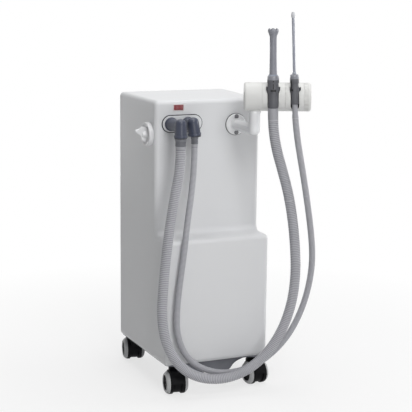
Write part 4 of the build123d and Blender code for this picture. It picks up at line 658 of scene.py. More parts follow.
@dataclass(frozen=True)
class Finish:
    """Surface of moulded plastic, rubber, paint or metal.

    Attributes are colours as light reflected, sizes as patterns per metre and heights in metres.
    """

    name: str
    colour: Colour
    second: Colour
    roughness: float = 0.4
    spread: float = 0.08
    tone_scale: float = 8.0
    tone_amount: float = 0.35
    grain_scale: float = 1400.0
    grain_height: float = 0.00003
    metallic: float = 0.0
    coat: float = 0.0
    specular: float = 0.5
    transmission: float = 0.0
    alpha: float = 1.0

    def group(
        self, tree: bpy.types.NodeTree, kind: Group, values: dict[str, object]
    ) -> bpy.types.Node:
        """Place a shared effect with this finish's values."""
        node = tree.nodes.new("ShaderNodeGroup")
        node.node_tree = Effects.tree(kind)
        fill(node, values)
        return node

    def build(self) -> bpy.types.Material:
        """Build the material.

        Returns:
            The material, or the one built before under this name.
        """
        found = bpy.data.materials.get(self.name)
        if found:
            return found
        material = bpy.data.materials.new(self.name)
        material.use_nodes = True
        tree = material.node_tree
        shader = tree.nodes["Principled BSDF"]
        fill(
            shader,
            {
                "Metallic": self.metallic,
                "Coat Weight": self.coat,
                "Coat Roughness": 0.08,
                "Specular IOR Level": self.specular,
                "Transmission Weight": self.transmission,
                "Alpha": self.alpha,
            },
        )
        tone = self.group(
            tree,
            Group.TONE,
            {
                "Colour": (*self.colour, 1.0),
                "Second": (*self.second, 1.0),
                "Scale": self.tone_scale,
                "Amount": self.tone_amount,
            },
        )
        grime = self.group(
            tree,
            Group.GRIME,
            {"Roughness": self.roughness, "Spread": self.spread, "Scale": self.tone_scale * 2.5},
        )
        tree.links.new(grime.outputs["Roughness"], shader.inputs["Roughness"])
        tree.links.new(self.paint(tree, tone.outputs["Colour"]), shader.inputs["Base Color"])
        if self.grain_height:
            grain = self.group(tree, Group.GRAIN, {"Scale": self.grain_scale, "Contrast": 1.0})
            bump = tree.nodes.new("ShaderNodeBump")
            fill(bump, {"Strength": 0.5, "Distance": self.grain_height})
            wire(
                tree,
                (grain, "Height", bump, "Height"),
                (bump, "Normal", shader, "Normal"),
            )
        return material

    def paint(self, tree: bpy.types.NodeTree, tone: bpy.types.NodeSocket) -> bpy.types.NodeSocket:
        """Return the socket that feeds the base colour."""
        return tone


@dataclass(frozen=True)
class HoseSkin(Finish):
    """Corrugated hose, with painted shade in the valleys between its ribs, darker than the crests.
    """

    valley_shade: Colour = (0.12, 0.12, 0.13)

    def paint(self, tree: bpy.types.NodeTree, tone: bpy.types.NodeSocket) -> bpy.types.NodeSocket:
        """Mix the painted valley shade in by the mesh's own crest attribute."""
        crest = tree.nodes.new("ShaderNodeAttribute")
        crest.attribute_name = "crest"
        mix = tree.nodes.new("ShaderNodeMix")
        mix.data_type = "RGBA"
        mix.inputs["A"].default_value = (*self.valley_shade, 1.0)
        tree.links.new(crest.outputs["Fac"], mix.inputs["Factor"])
        tree.links.new(tone, mix.inputs["B"])
        return mix.outputs["Result"]


class Palette:
    """The finishes of this unit."""

    COVER = Finish("satin_white_cover", (0.72, 0.725, 0.735), (0.69, 0.7, 0.715), 0.32, 0.06, 3.0,
                   0.4, 700.0, 0.00002, specular=0.3)
    PANEL = Finish("powder_coated_panel", (0.55, 0.555, 0.565), (0.52, 0.525, 0.54), 0.5, 0.06,
                   5.0, 0.4, 1500.0, 0.00005)
    # Darkened as painted shade under the cabinet.
    PLATE = Finish("zinc_plated_sheet", (0.17, 0.175, 0.195), (0.12, 0.125, 0.14), 0.36, 0.14,
                   14.0, 0.7, 260.0, 0.00003, metallic=0.9)
    DECK = Finish("glossy_white_plate", (0.7, 0.71, 0.72), (0.66, 0.67, 0.69), 0.22, 0.05, 9.0,
                  0.4, 900.0, 0.00001, coat=0.3)
    GASKET = Finish("black_gasket_rubber", (0.03, 0.032, 0.04), (0.05, 0.052, 0.06), 0.6)
    CONNECTOR = Finish("glossy_blue_grey_elbow", (0.052, 0.06, 0.092), (0.068, 0.077, 0.112), 0.3,
                       0.06, 26.0, 0.5, 900.0, 0.00002, specular=0.35)
    CUFF = Finish("soft_grey_cuff", (0.17, 0.175, 0.195), (0.13, 0.135, 0.15), 0.45, 0.08, 40.0,
                  0.5)
    BEZEL = Finish("pale_switch_rim", (0.72, 0.62, 0.62), (0.76, 0.68, 0.67), 0.3, 0.05, 60.0, 0.4,
                   1200.0, 0.0)
    ROCKER = Finish("deep_red_rocker", (0.19, 0.006, 0.014), (0.24, 0.01, 0.018), 0.36, 0.04, 80.0,
                    0.5, 900.0, 0.0, coat=0.1)
    KNOB = Finish("white_knob_plastic", (0.74, 0.74, 0.75), (0.7, 0.705, 0.72), 0.3, 0.06, 30.0,
                  0.4, 1200.0, 0.00002, coat=0.2)
    ARM = Finish("white_arm_plastic", (0.82, 0.825, 0.835), (0.78, 0.785, 0.8), 0.24, 0.06, 16.0,
                 0.4, 1000.0, 0.00001, coat=0.35)
    DRUM = Finish("ivory_drum_plastic", (0.73, 0.73, 0.715), (0.7, 0.7, 0.68), 0.4, 0.06, 14.0,
                  0.45, 1000.0, 0.00002, specular=0.35)
    # Black painted shade for the walls inside the handpiece grooves.
    GROOVE_SHADE = Finish("dark_groove_lining", (0.05, 0.05, 0.055), (0.07, 0.07, 0.075), 0.55, 0.08,
                    60.0)
    STEEL = Finish("dark_screw_steel", (0.2, 0.2, 0.21), (0.14, 0.14, 0.15), 0.34, 0.08, 90.0, 0.5,
                   1800.0, 0.00001, metallic=1.0)
    GRIP = Finish("mid_grey_handpiece", (0.118, 0.12, 0.133), (0.094, 0.096, 0.106), 0.42, 0.1,
                  45.0, 0.6, 1600.0, 0.00004, specular=0.35)
    SLIDE = Finish("dark_grey_slider", (0.1, 0.102, 0.115), (0.08, 0.082, 0.092), 0.38, 0.1, 60.0,
                   0.6, 1600.0, 0.00004)
    # Black painted shade for the valve's slot, hole and window.
    SHADOW = Finish("black_valve_port", (0.006, 0.006, 0.008), (0.012, 0.012, 0.014), 0.5)
    TUBE = Finish("satin_grey_cannula", (0.27, 0.275, 0.31), (0.22, 0.225, 0.255), 0.34, 0.08,
                  40.0, 0.6, 900.0, 0.00002, specular=0.4)
    INSERT = Finish("blue_grey_insert", (0.24, 0.27, 0.34), (0.3, 0.33, 0.4), 0.3, 0.06, 90.0, 0.6,
                    900.0, 0.0, coat=0.3)
    CLEAR = Finish("clear_blue_ejector_tube", (0.36, 0.38, 0.45), (0.42, 0.44, 0.51), 0.18, 0.05,
                   40.0, 0.5, 900.0, 0.0, coat=0.4, transmission=0.25)
    TIP = Finish("soft_pale_tip", (0.6, 0.61, 0.64), (0.5, 0.51, 0.54), 0.35, 0.05, 120.0, 0.5,
                 900.0, 0.0, coat=0.2, transmission=0.1)
    # Paler than the grip as a painted highlight on the handpiece's nose.
    NOSE = Finish("pale_handpiece_nose", (0.25, 0.255, 0.285), (0.19, 0.195, 0.22), 0.34, 0.08,
                  60.0, 0.6, 1600.0, 0.00003, coat=0.2)
    CASTER = Finish("black_caster_plastic", (0.002, 0.002, 0.003), (0.004, 0.004, 0.005), 0.5, 0.1,
                    40.0, 0.6, 1300.0, 0.00003, specular=0.1)
    TREAD = Finish("grey_tread_rubber", (0.5, 0.505, 0.51), (0.42, 0.425, 0.43), 0.5, 0.1, 50.0,
                   0.6, 1100.0, 0.00005)
    SOCKET = Finish("black_inlet_plastic", (0.012, 0.012, 0.014), (0.02, 0.02, 0.022), 0.45)
    INNER = Finish("grey_inner_plastic", (0.08, 0.083, 0.09), (0.06, 0.062, 0.07), 0.5)
    RUBBER = Finish("black_pipe_rubber", (0.02, 0.02, 0.022), (0.03, 0.03, 0.033), 0.6)
    CASTING = Finish("cast_aluminium", (0.5, 0.51, 0.52), (0.42, 0.43, 0.44), 0.45, 0.12, 30.0,
                     0.6, 700.0, 0.00008, metallic=0.9)
    ENAMEL = Finish("grey_motor_enamel", (0.08, 0.09, 0.11), (0.06, 0.07, 0.085), 0.4)
    TANK = Finish("milky_tank_plastic", (0.55, 0.6, 0.63), (0.5, 0.55, 0.58), 0.3, 0.06, 8.0, 0.4,
                  900.0, 0.00002, alpha=0.7)
    HOSE = HoseSkin("grey_hose_skin", (0.49, 0.49, 0.52), (0.44, 0.442, 0.47), 0.42, 0.08, 20.0,
                    0.5, 1400.0, 0.00002, valley_shade=(0.25, 0.25, 0.275), specular=0.35)


SLOT_FINISHES: dict[str, Finish] = {
    "cover_plastic": Palette.COVER,
    "panel_paint": Palette.PANEL,
    "plate_steel": Palette.PLATE,
    "mount_rubber": Palette.RUBBER,
    "motor_paint": Palette.ENAMEL,
    "head_aluminium": Palette.CASTING,
    "tank_plastic": Palette.TANK,
    "inner_plastic": Palette.INNER,
    "connector_plastic": Palette.CONNECTOR,
    "plate_plastic": Palette.DECK,
    "gasket_rubber": Palette.GASKET,
    "cuff_rubber": Palette.CUFF,
    "hose_plastic": Palette.CUFF,
    "bezel_plastic": Palette.BEZEL,
    "rocker_plastic": Palette.ROCKER,
    "knob_plastic": Palette.KNOB,
    "arm_plastic": Palette.ARM,
    "drum_plastic": Palette.DRUM,
    "screw_steel": Palette.STEEL,
    "rod_steel": Palette.STEEL,
    "handpiece_plastic": Palette.GRIP,
    "slide_plastic": Palette.SLIDE,
    "hve_tube_plastic": Palette.TUBE,
    "se_tube_plastic": Palette.CLEAR,
    "tip_plastic": Palette.TIP,
    "inlet_plastic": Palette.SOCKET,
    "outlet_plastic": Palette.INNER,
    "caster_plastic": Palette.CASTER,
    "wheel_rubber": Palette.TREAD,
}


# Camera, floor and lamps


@dataclass
class Studio:
    """Pale studio with the camera where the photograph was taken from."""

    place: tuple[float, float, float] = (-1205.0, -2778.6, 1071.1)
    yaw: float = 22.821
    pitch: float = -10.962
    roll: float = 0.586
    lens: float = 106.53

    def camera(self) -> None:
        """Create the scene's camera."""
        yaw, pitch, roll = (math.radians(value) for value in (self.yaw, self.pitch, self.roll))
        level = Vector((math.sin(yaw), math.cos(yaw), 0.0))
        forward = level * math.cos(pitch) + UP * math.sin(pitch)
        right = Vector((math.cos(yaw), -math.sin(yaw), 0.0))
        up = right.cross(forward)
        side = right * math.cos(roll) + up * math.sin(roll)
        top = up * math.cos(roll) - right * math.sin(roll)
        data = bpy.data.cameras.new("photo_camera")
        data.sensor_fit = "HORIZONTAL"
        data.sensor_width = 36.0
        data.lens = self.lens
        data.clip_end = 50.0
        camera = bpy.data.objects.new("photo_camera", data)
        turn = Matrix((side, top, -forward)).transposed().to_4x4()
        camera.matrix_world = Matrix.Translation(at(*self.place)) @ turn
        bpy.context.collection.objects.link(camera)
        bpy.context.scene.camera = camera

    def lamp(self, name: str, place: Vector, size: float, power: float) -> None:
        """Add a soft square lamp that points at the cabinet.

        Args:
            name: name of the lamp.
            place: where it hangs, in metres.
            size: its side in metres.
            power: its power in watts.
        """
        data = bpy.data.lights.new(name, "AREA")
        data.size = size
        data.energy = power
        lamp = bpy.data.objects.new(name, data)
        lamp.location = place
        lamp.rotation_euler = (Vector((0.0, 0.0, 0.4)) - place).to_track_quat("-Z", "Y").to_euler()
        bpy.context.collection.objects.link(lamp)

    @staticmethod
    def shown(tree: bpy.types.NodeTree) -> bpy.types.NodeSocket:
        """Mask the rays that show the background rather than light the object.

        Args:
            tree: nodes of the world or of the floor's material.

        Returns:
            A value of 1 for camera, glossy and transmission rays.
        """
        rays = tree.nodes.new("ShaderNodeLightPath")
        mirrored = tree.nodes.new("ShaderNodeMath")
        seen = tree.nodes.new("ShaderNodeMath")
        mirrored.operation = seen.operation = "MAXIMUM"
        wire(
            tree,
            (rays, "Is Glossy Ray", mirrored, 0),
            (rays, "Is Transmission Ray", mirrored, 1),
            (rays, "Is Camera Ray", seen, 0),
            (mirrored, "Value", seen, 1),
        )
        return seen.outputs["Value"]

    def world(self) -> None:
        """Light the room softly, with a plain white background behind the object."""
        world = bpy.data.worlds.new("studio")
        world.use_nodes = True
        bpy.context.scene.world = world
        tree = world.node_tree
        background = tree.nodes["Background"]
        background.inputs["Color"].default_value = (0.93, 0.96, 1.0, 1.0)
        white = tree.nodes.new("ShaderNodeBackground")
        white.inputs["Color"].default_value = (1.0, 1.0, 1.0, 1.0)
        mix = tree.nodes.new("ShaderNodeMixShader")
        tree.links.new(self.shown(tree), mix.inputs["Fac"])
        wire(
            tree,
            (background, "Background", mix, 1),
            (white, "Background", mix, 2),
        )
        tree.links.new(mix.outputs["Shader"], tree.nodes["World Output"].inputs["Surface"])
        background.inputs["Strength"].default_value = 0.06

    def floor(self) -> None:
        """Lay a white floor that keeps the object's soft shadow."""
        Bench.clear()
        bpy.ops.mesh.primitive_plane_add(size=16.0, location=(0.0, 0.0, -0.0005))
        floor = Bench.named("studio_floor")
        Bench.apply()
        material = bpy.data.materials.new("white_floor")
        material.use_nodes = True
        tree = material.node_tree
        shader = tree.nodes["Principled BSDF"]
        fill(shader, {"Base Color": (0.8, 0.8, 0.8, 1.0), "Roughness": 0.8})
        glow = tree.nodes.new("ShaderNodeEmission")
        fill(glow, {"Color": (1.0, 1.0, 1.0, 1.0), "Strength": 1.0})
        place = tree.nodes.new("ShaderNodeTexCoord")
        away = tree.nodes.new("ShaderNodeVectorMath")
        away.operation = "LENGTH"
        fade = tree.nodes.new("ShaderNodeMapRange")
        fill(fade, {"From Min": 0.25, "From Max": 1.3, "To Min": 0.72, "To Max": 1.0})
        share = tree.nodes.new("ShaderNodeMath")
        share.operation = "MULTIPLY"
        mix = tree.nodes.new("ShaderNodeMixShader")
        wire(
            tree,
            (place, "Object", away, 0),
            (away, "Value", fade, "Value"),
            (fade, "Result", share, 1),
        )
        tree.links.new(self.shown(tree), share.inputs[0])
        wire(
            tree,
            (share, "Value", mix, "Fac"),
            (shader, "BSDF", mix, 1),
            (glow, "Emission", mix, 2),
        )
        tree.links.new(mix.outputs["Shader"], tree.nodes["Material Output"].inputs["Surface"])
        floor.data.materials.append(material)

    def build(self) -> None:
        """Set the studio up."""
        bpy.context.scene.view_settings.view_transform = "Standard"
        self.camera()
        self.world()
        self.floor()
        self.lamp("key_lamp", Vector((-0.1, -2.3, 2.5)), 1.2, 35.0)
        self.lamp("top_lamp", Vector((0.0, 0.2, 3.0)), 2.0, 40.0)
        self.lamp("right_lamp", Vector((2.8, -0.4, 1.2)), 1.2, 28.0)
        self.lamp("front_lamp", Vector((-0.35, -3.2, 0.35)), 1.4, 24.0)
        self.lamp("back_lamp", Vector((-0.2, 3.1, 0.2)), 1.6, 24.0)


# Cabinet


@dataclass
class Cabinet:
    """Moulded cover, back panel and base plate."""

    frame: dict
    louvre_columns: tuple[float, float] = (-52.0, 52.0)
    louvre_rows: int = 8
    louvre_pitch: float = 17.0
    louvre_middle: float = 500.0
    louvre_y: float = 331.8
    tray_back: float = 298.0
    tray_depth: float = 274.0

    def cover(self) -> None:
        """Dress the cover with smooth moulded shading."""
        piece = Bench.node_copy(self.frame, "cover", "moulded_cover", Shade.CRISP)
        settle(piece, "cabinet", Palette.COVER, "cover_plastic", "cover")

    def louvre(self) -> bpy.types.Object:
        """Model one pressed lip over a slot of the back panel.

        Returns:
            The lip, over a slot at the origin, with the panel in the XZ plane.
        """
        section: Profile = [(2.4, -34.0), (4.4, -30.0), (4.4, 30.0), (2.4, 34.0)]
        lip = Bench.revolve("louvre_lip", section, 20)
        Bench.stand(lip, ORIGIN, RIGHT, UP)
        Bench.edit_all(lip)
        bpy.ops.mesh.bisect(
            plane_co=(0.0, 0.0002, 0.0), plane_no=(0.0, 1.0, 0.0), clear_inner=True, use_fill=False
        )
        bpy.ops.mesh.select_all(action="SELECT")
        bpy.ops.mesh.bisect(
            plane_co=(0.0, 0.0, 0.0004), plane_no=(0.0, 0.0, 1.0), clear_inner=True, use_fill=False
        )
        Bench.leave()
        Bench.modify(lip, "SOLIDIFY", thickness=0.0008, offset=-1.0)
        return lip

    def back(self) -> None:
        """Dress the back panel and add a lip over each slot."""
        panel = Bench.node_copy(self.frame, "back_panel", "louvred_back_panel")
        first = self.louvre()
        lips = []
        middle = (self.louvre_rows - 1) / 2.0
        for column in self.louvre_columns:
            for row in range(self.louvre_rows):
                level = self.louvre_middle + (row - middle) * self.louvre_pitch
                lip = Bench.copy(first, f"louvre_lip_{len(lips)}")
                lip.location = at(column, self.louvre_y, level + 1.0)
                Bench.take(lip)
                Bench.apply()
                lips.append(lip)
        bpy.data.objects.remove(first)
        Bench.gather(lips[0], lips[1:])
        Bench.smooth(lips[0])
        lips[0].name = "louvre_lips"
        settle(panel, "cabinet", Palette.PANEL, "panel_paint", "back_panel")
        settle(lips[0], "cabinet", Palette.PANEL, "panel_paint")

    def underside(self) -> None:
        """Dress the base plate, and shape the tray that hangs under it."""
        piece = Bench.node_copy(self.frame, "base_pan", "steel_base_plate")
        settle(piece, "cabinet", Palette.PLATE, "plate_steel", "base_pan")
        # The flanks stay clear of the casters when they swivel.
        flank: Profile = [
            (44.0, 38.0), (49.0, 41.0), (53.0, 46.0), (56.5, 51.0), (61.0, 55.0), (66.0, 58.5),
            (73.0, 61.5), (81.0, 64.0), (88.0, 66.5), (90.0, 69.0), (90.0, 75.5),
        ]
        outline = flank + [(-x, z) for x, z in reversed(flank)]
        tray = Bench.sheet("underside_tray", outline, self.tray_depth)
        Bench.take(tray)
        tray.location = at(0.0, self.tray_back, 0.0)
        Bench.apply()
        Bench.round_edges(tray, 11.0, 6, 60.0)
        # The tray's colour is darkened as painted shade under the cabinet.
        deliver(tray, "cabinet", Palette.PLATE, "plate_steel")

    def build(self) -> None:
        """Build the cabinet."""
        self.cover()
        self.back()
        self.underside()


@dataclass
class Sockets:
    """Plate, gasket, elbows and cuffs that the hoses start from."""

    frame: dict
    height: float = 688.5
    leg_bottom: float = 662.5
    root_y: float = 72.5

    def plate(self) -> None:
        """Dress the plate and its gasket."""
        plate = Bench.node_copy(self.frame, "connection_plate", "socket_plate")
        gasket = Bench.node_copy(self.frame, "plate_gasket", "socket_gasket")
        settle(plate, "cabinet", Palette.DECK, "plate_plastic", "connection_plate")
        settle(gasket, "cabinet", Palette.GASKET, "gasket_rubber", "plate_gasket")

    def elbow(self, node: str, x: float, leg_y: float, lean: float) -> None:
        """Mould one elbow: a branch from the plate and a leg with a domed top.

        Args:
            node: the CAD node that it replaces.
            x: place of the socket.
            leg_y: place of the leg's axis.
            lean: how far the elbow is turned in its socket, in degrees.
        """
        branch = Bench.revolve(
            f"{node}_branch",
            [
                (17.3, 0.0), (17.3, 3.4), (15.4, 5.0), (14.9, 9.0), (14.9, self.root_y - leg_y),
                (11.0, self.root_y - leg_y + 8.0),
            ],
        )
        Bench.stand(branch, at(x, self.root_y, self.height), FORWARD)
        leg = Bench.revolve(
            f"{node}_leg",
            [
                (14.6, 0.0), (15.6, 0.4), (15.4, 14.0), (14.9, 26.0), (14.7, 33.0), (13.9, 37.6),
                (12.0, 41.4), (8.8, 44.1), (4.6, 45.8), (0.6, 46.3),
            ],
        )
        Bench.stand(leg, at(x, leg_y, self.leg_bottom), UP)
        Bench.fuse(leg, branch)
        Bench.melt(leg, 0.7, 8)
        collar = Bench.revolve(
            f"{node}_collar",
            [
                (16.0, 0.0), (16.9, 0.7), (16.9, 5.2), (16.2, 6.2), (15.2, 6.6),
            ],
        )
        Bench.stand(collar, at(x, leg_y, self.leg_bottom), UP)
        Bench.gather(leg, [collar])
        foot = Matrix.Translation(at(x, leg_y, self.leg_bottom))
        Bench.take(leg)
        leg.matrix_world = foot @ Matrix.Rotation(math.radians(lean), 4, "Y") @ foot.inverted()
        Bench.apply()
        Bench.smooth(leg)
        leg.name = f"{node}_moulding"
        settle(leg, "cabinet", Palette.CONNECTOR, "connector_plastic", node)
        seal = Bench.revolve(
            f"{node}_seal",
            [(10.0, -2.6), (14.9, -2.6), (15.9, -1.9), (16.0, 0.6), (15.2, 1.4), (10.0, 1.4)],
        )
        Bench.stand(seal, at(x, leg_y, self.leg_bottom), UP)
        deliver(seal, "cabinet", Palette.GASKET, "gasket_rubber")

    def cuff(self, node: str, x: float, leg_y: float, wide: float, narrow: float) -> None:
        """Turn the soft cuff that joins a hose to its elbow.

        Args:
            node: the CAD node that it replaces.
            x: place of the socket.
            leg_y: place of the leg's axis.
            wide: radius under the elbow.
            narrow: radius at the hose.
        """
        rise = self.leg_bottom - CUFF_BOTTOM
        profile: Profile = [(narrow - 1.2, 0.0), (narrow - 0.3, 0.3), (narrow, 1.0)]
        for step in range(4):
            start = 2.2 + step * 2.6
            profile += [
                (narrow + 0.05, start), (narrow - 0.8, start + 0.4), (narrow - 0.8, start + 1.0),
                (narrow + 0.1, start + 1.4),
            ]
        profile += [
            (narrow + (wide - narrow) * 0.6, rise * 0.72), (wide, rise * 0.84),
            (wide, rise - 0.8), (wide - 0.5, rise),
        ]
        piece = Bench.revolve(f"{node}_sleeve", profile)
        Bench.stand(piece, at(x, leg_y, CUFF_BOTTOM), UP)
        deliver(piece, "cabinet", Palette.CUFF, "cuff_rubber", node)

    def build(self) -> None:
        """Build the sockets."""
        self.plate()
        self.elbow("hve_elbow", *WIDE_LEG, 0.0)
        self.elbow("se_elbow", *THIN_LEG, -8.0)
        self.cuff("hve_cuff", *WIDE_LEG, 14.8, 13.6)
        self.cuff("se_cuff", *THIN_LEG, 10.3, 8.9)


@dataclass
class PowerSwitch:
    """Red rocker in a pale rim."""

    frame: dict
    x: float = -81.4
    height: float = 729.4
    y: float = 81.0
    pivot: float = 6.3
    tilt: float = -7.0

    def rim(self) -> None:
        """Dress the rim and housing."""
        piece = Bench.node_copy(self.frame, "switch_bezel", "switch_rim")
        Bench.round_edges(piece, 0.35, 2)
        deliver(piece, "cabinet", Palette.BEZEL, "bezel_plastic", "switch_bezel")

    def rocker(self) -> None:
        """Shape the rocker with its two hollowed halves."""
        outline: Profile = [
            (-11.9, 6.1), (-9.6, 5.5), (-5.6, 5.35), (-1.2, 5.7), (0.0, 5.9), (1.2, 5.7),
            (5.6, 5.35), (9.6, 5.5), (11.9, 6.1), (11.9, 4.0), (4.5, -5.0), (-4.5, -5.0),
            (-11.9, 4.0),
        ]
        piece = Bench.sheet("red_rocker", outline, 12.6)
        Bench.round_edges(piece, 0.5, 3, 40.0)
        side = Matrix.Rotation(math.radians(self.tilt), 4, "Z") @ RIGHT
        Bench.stand(piece, at(self.x, self.y, self.height + self.pivot), side.cross(UP), side)
        deliver(piece, "rocker", Palette.ROCKER, "rocker_plastic", "power_rocker")

    def build(self) -> None:
        """Build the switch."""
        self.rim()
        self.rocker()


@dataclass
class FlowKnob:
    """White knob on the left wall, with a dished face and a pointed grip."""

    y: float = 112.0
    height: float = 660.0

    def build(self) -> None:
        """Turn the skirt, add the grip and blend them."""
        skirt = Bench.revolve(
            "flow_knob",
            [
                (29.6, 0.3), (31.0, 1.6), (31.0, 9.8), (30.4, 11.6), (29.2, 12.7), (27.6, 13.0),
                (26.0, 12.3), (24.4, 9.9), (21.0, 8.5), (14.5, 8.0), (11.4, 9.2), (9.4, 12.2),
                (8.2, 17.0), (7.4, 20.6), (5.4, 21.8), (1.0, 22.0),
            ],
            80,
        )
        grip = Bench.sheet(
            "flow_knob_grip",
            [
                (-18.0, 7.6), (-18.6, 14.0), (-16.6, 19.4), (-12.0, 22.8), (-6.0, 24.2),
                (-2.0, 26.2), (4.0, 34.0), (8.6, 39.9), (11.4, 39.6), (12.6, 36.8), (14.4, 30.0),
                (17.4, 25.6), (19.8, 23.2), (20.0, 20.0), (18.6, 7.6),
            ],
            7.6,
        )
        Bench.edit_all(grip)
        bpy.ops.transform.translate(value=(0.0, 0.0038, 0.0))
        Bench.leave()
        Bench.round_edges(grip, 1.8, 4, 50.0)
        Bench.stand(grip, ORIGIN, UP, BACKWARD)
        Bench.fuse(skirt, grip)
        Bench.melt(skirt, 0.55, 5)
        level = UP.cross(WALL_OUTWARD)
        Bench.stand(skirt, at(-half_width(self.y), self.y, self.height), WALL_OUTWARD, level)
        Bench.smooth(skirt, Shade.SOFT)
        settle(skirt, "regulator", Palette.KNOB, "knob_plastic", "regulator_knob")


@dataclass
class Screws:
    """Pan head screws of the arm flange and the back panel."""

    flange: tuple[tuple[float, float], ...] = ((POST[0], 701.5), (POST[0], 660.5))
    flange_y: float = 71.0
    panel_x: float = 122.0
    panel_y: float = 332.0
    panel_z: tuple[float, ...] = (118.0, 412.0, 706.0)

    def pattern(self) -> bpy.types.Object:
        """Model one screw head with a cross recess.

        Returns:
            The screw about +Z, with its seat at the origin.
        """
        head = Bench.revolve(
            "screw_pattern",
            [(2.5, -8.0), (2.5, 0.0), (4.6, 0.0), (4.6, 1.2), (4.1, 2.0), (2.9, 2.5), (0.4, 2.7)],
            32,
        )
        slots = []
        for way in (RIGHT, BACKWARD):
            across = UP.cross(way)
            low = -way * 2.5 - across * 0.45 + UP * 1.1
            high = way * 2.5 + across * 0.45 + UP * 3.2
            corner = Vector((min(low.x, high.x), min(low.y, high.y), low.z)) * MM
            other = Vector((max(low.x, high.x), max(low.y, high.y), high.z)) * MM
            slots.append(Bench.box("cross_slot", corner, other))
        Bench.cut(head, *slots)
        return head

    def build(self) -> None:
        """Copy the screw to each of its places and join the copies."""
        pattern = self.pattern()
        places = [(at(x, self.flange_y, z), FORWARD) for x, z in self.flange]
        for side in (-1.0, 1.0):
            places += [(at(side * self.panel_x, self.panel_y, z), BACKWARD) for z in self.panel_z]
        copies = []
        for number, (place, along) in enumerate(places):
            screw = Bench.copy(pattern, f"pan_head_screw_{number}")
            turn = Matrix.Rotation(0.4 + number * 0.7, 4, along) @ UP.cross(along)
            Bench.stand(screw, place, along, turn)
            copies.append(screw)
        bpy.data.objects.remove(pattern)
        Bench.gather(copies[0], copies[1:])
        Bench.smooth(copies[0], Shade.CRISP)
        copies[0].name = "pan_head_screws"
        settle(copies[0], "cabinet", Palette.STEEL, "screw_steel", "screws")
        # Black rings under the flange screws are painted shade of their seats.
        section: Profile = [(4.0, 0.0), (5.8, 0.0), (5.8, 0.4), (5.2, 0.8), (4.0, 0.8)]
        seats = []
        for x, z in self.flange:
            seat = Bench.revolve("screw_washer", section, 40)
            Bench.stand(seat, at(x, self.flange_y + 0.1, z), FORWARD)
            seats.append(seat)
        Bench.gather(seats[0], seats[1:])
        seats[0].name = "flange_screw_washers"
        deliver(seats[0], "cabinet", Palette.GASKET, "screw_steel")


@dataclass
class HolderArm:
    """Round flange on the front and the bent post that carries the drum."""

    x: float = POST[0]
    height: float = 681.0
    post_y: float = POST[1]
    seat_y: float = 71.5
    radius: float = 14.5
    collar_bottom: float = 722.6

    def flange(self) -> None:
        """Turn the flange with a raised seat for the post."""
        piece = Bench.revolve(
            "arm_flange",
            [
                (27.5, 0.0), (27.5, 3.4), (27.0, 5.0), (25.6, 5.9), (24.0, 6.0), (17.2, 6.0),
                (16.2, 6.6), (15.6, 8.6), (14.6, 9.2),
            ],
            80,
        )
        Bench.stand(piece, at(self.x, FACE_Y, self.height), FORWARD, UP)
        holes = []
        for offset in (-20.5, 20.5):
            hole = Bench.revolve("screw_seat", [(2.8, -8.0), (2.8, 8.0)], 24)
            Bench.stand(hole, at(self.x, 74.0, self.height + offset), FORWARD)
            holes.append(hole)
        Bench.cut(piece, *holes)
        deliver(piece, "cabinet", Palette.ARM, "arm_plastic", "holder_flange")
        # A black ring under the flange's edge is painted shade round the flange.
        section: Profile = [(20.0, 0.0), (28.7, 0.0), (28.7, 1.4), (27.6, 1.9), (20.0, 1.9)]
        gasket = Bench.revolve("flange_gasket", section, 80)
        Bench.stand(gasket, at(self.x, FACE_Y, self.height), FORWARD, UP)
        deliver(gasket, "cabinet", Palette.GASKET, "gasket_rubber")

    def post(self) -> None:
        """Turn the arm's level run and its upright, and join them over a round corner."""
        reach = self.seat_y - self.post_y
        piece = Bench.revolve("bent_post", [(self.radius, 0.0), (self.radius, reach)], 64)
        Bench.stand(piece, at(self.x, self.seat_y, self.height), FORWARD, UP)
        Bench.clear()
        bpy.ops.mesh.primitive_uv_sphere_add(
            segments=64,
            ring_count=32,
            radius=self.radius * MM,
            location=at(self.x, self.post_y, self.height),
        )
        corner = Bench.named("post_corner")
        Bench.apply()
        rise = self.collar_bottom - self.height
        upright = Bench.revolve(
            "post_collar",
            [
                (self.radius, 0.0), (self.radius, rise - 1.0), (self.radius + 0.4, rise),
                (15.8, rise + 0.6), (15.8, rise + 5.2), (15.3, rise + 5.9), (8.0, rise + 6.0),
                (8.0, rise + 27.0), (7.0, rise + 28.0),
            ],
            64,
        )
        Bench.stand(upright, at(self.x, self.post_y, self.height), UP)
        Bench.fuse(piece, corner, upright)
        deliver(piece, "cabinet", Palette.ARM, "arm_plastic", "holder_arm")

    def build(self) -> None:
        """Build the arm."""
        self.flange()
        self.post()


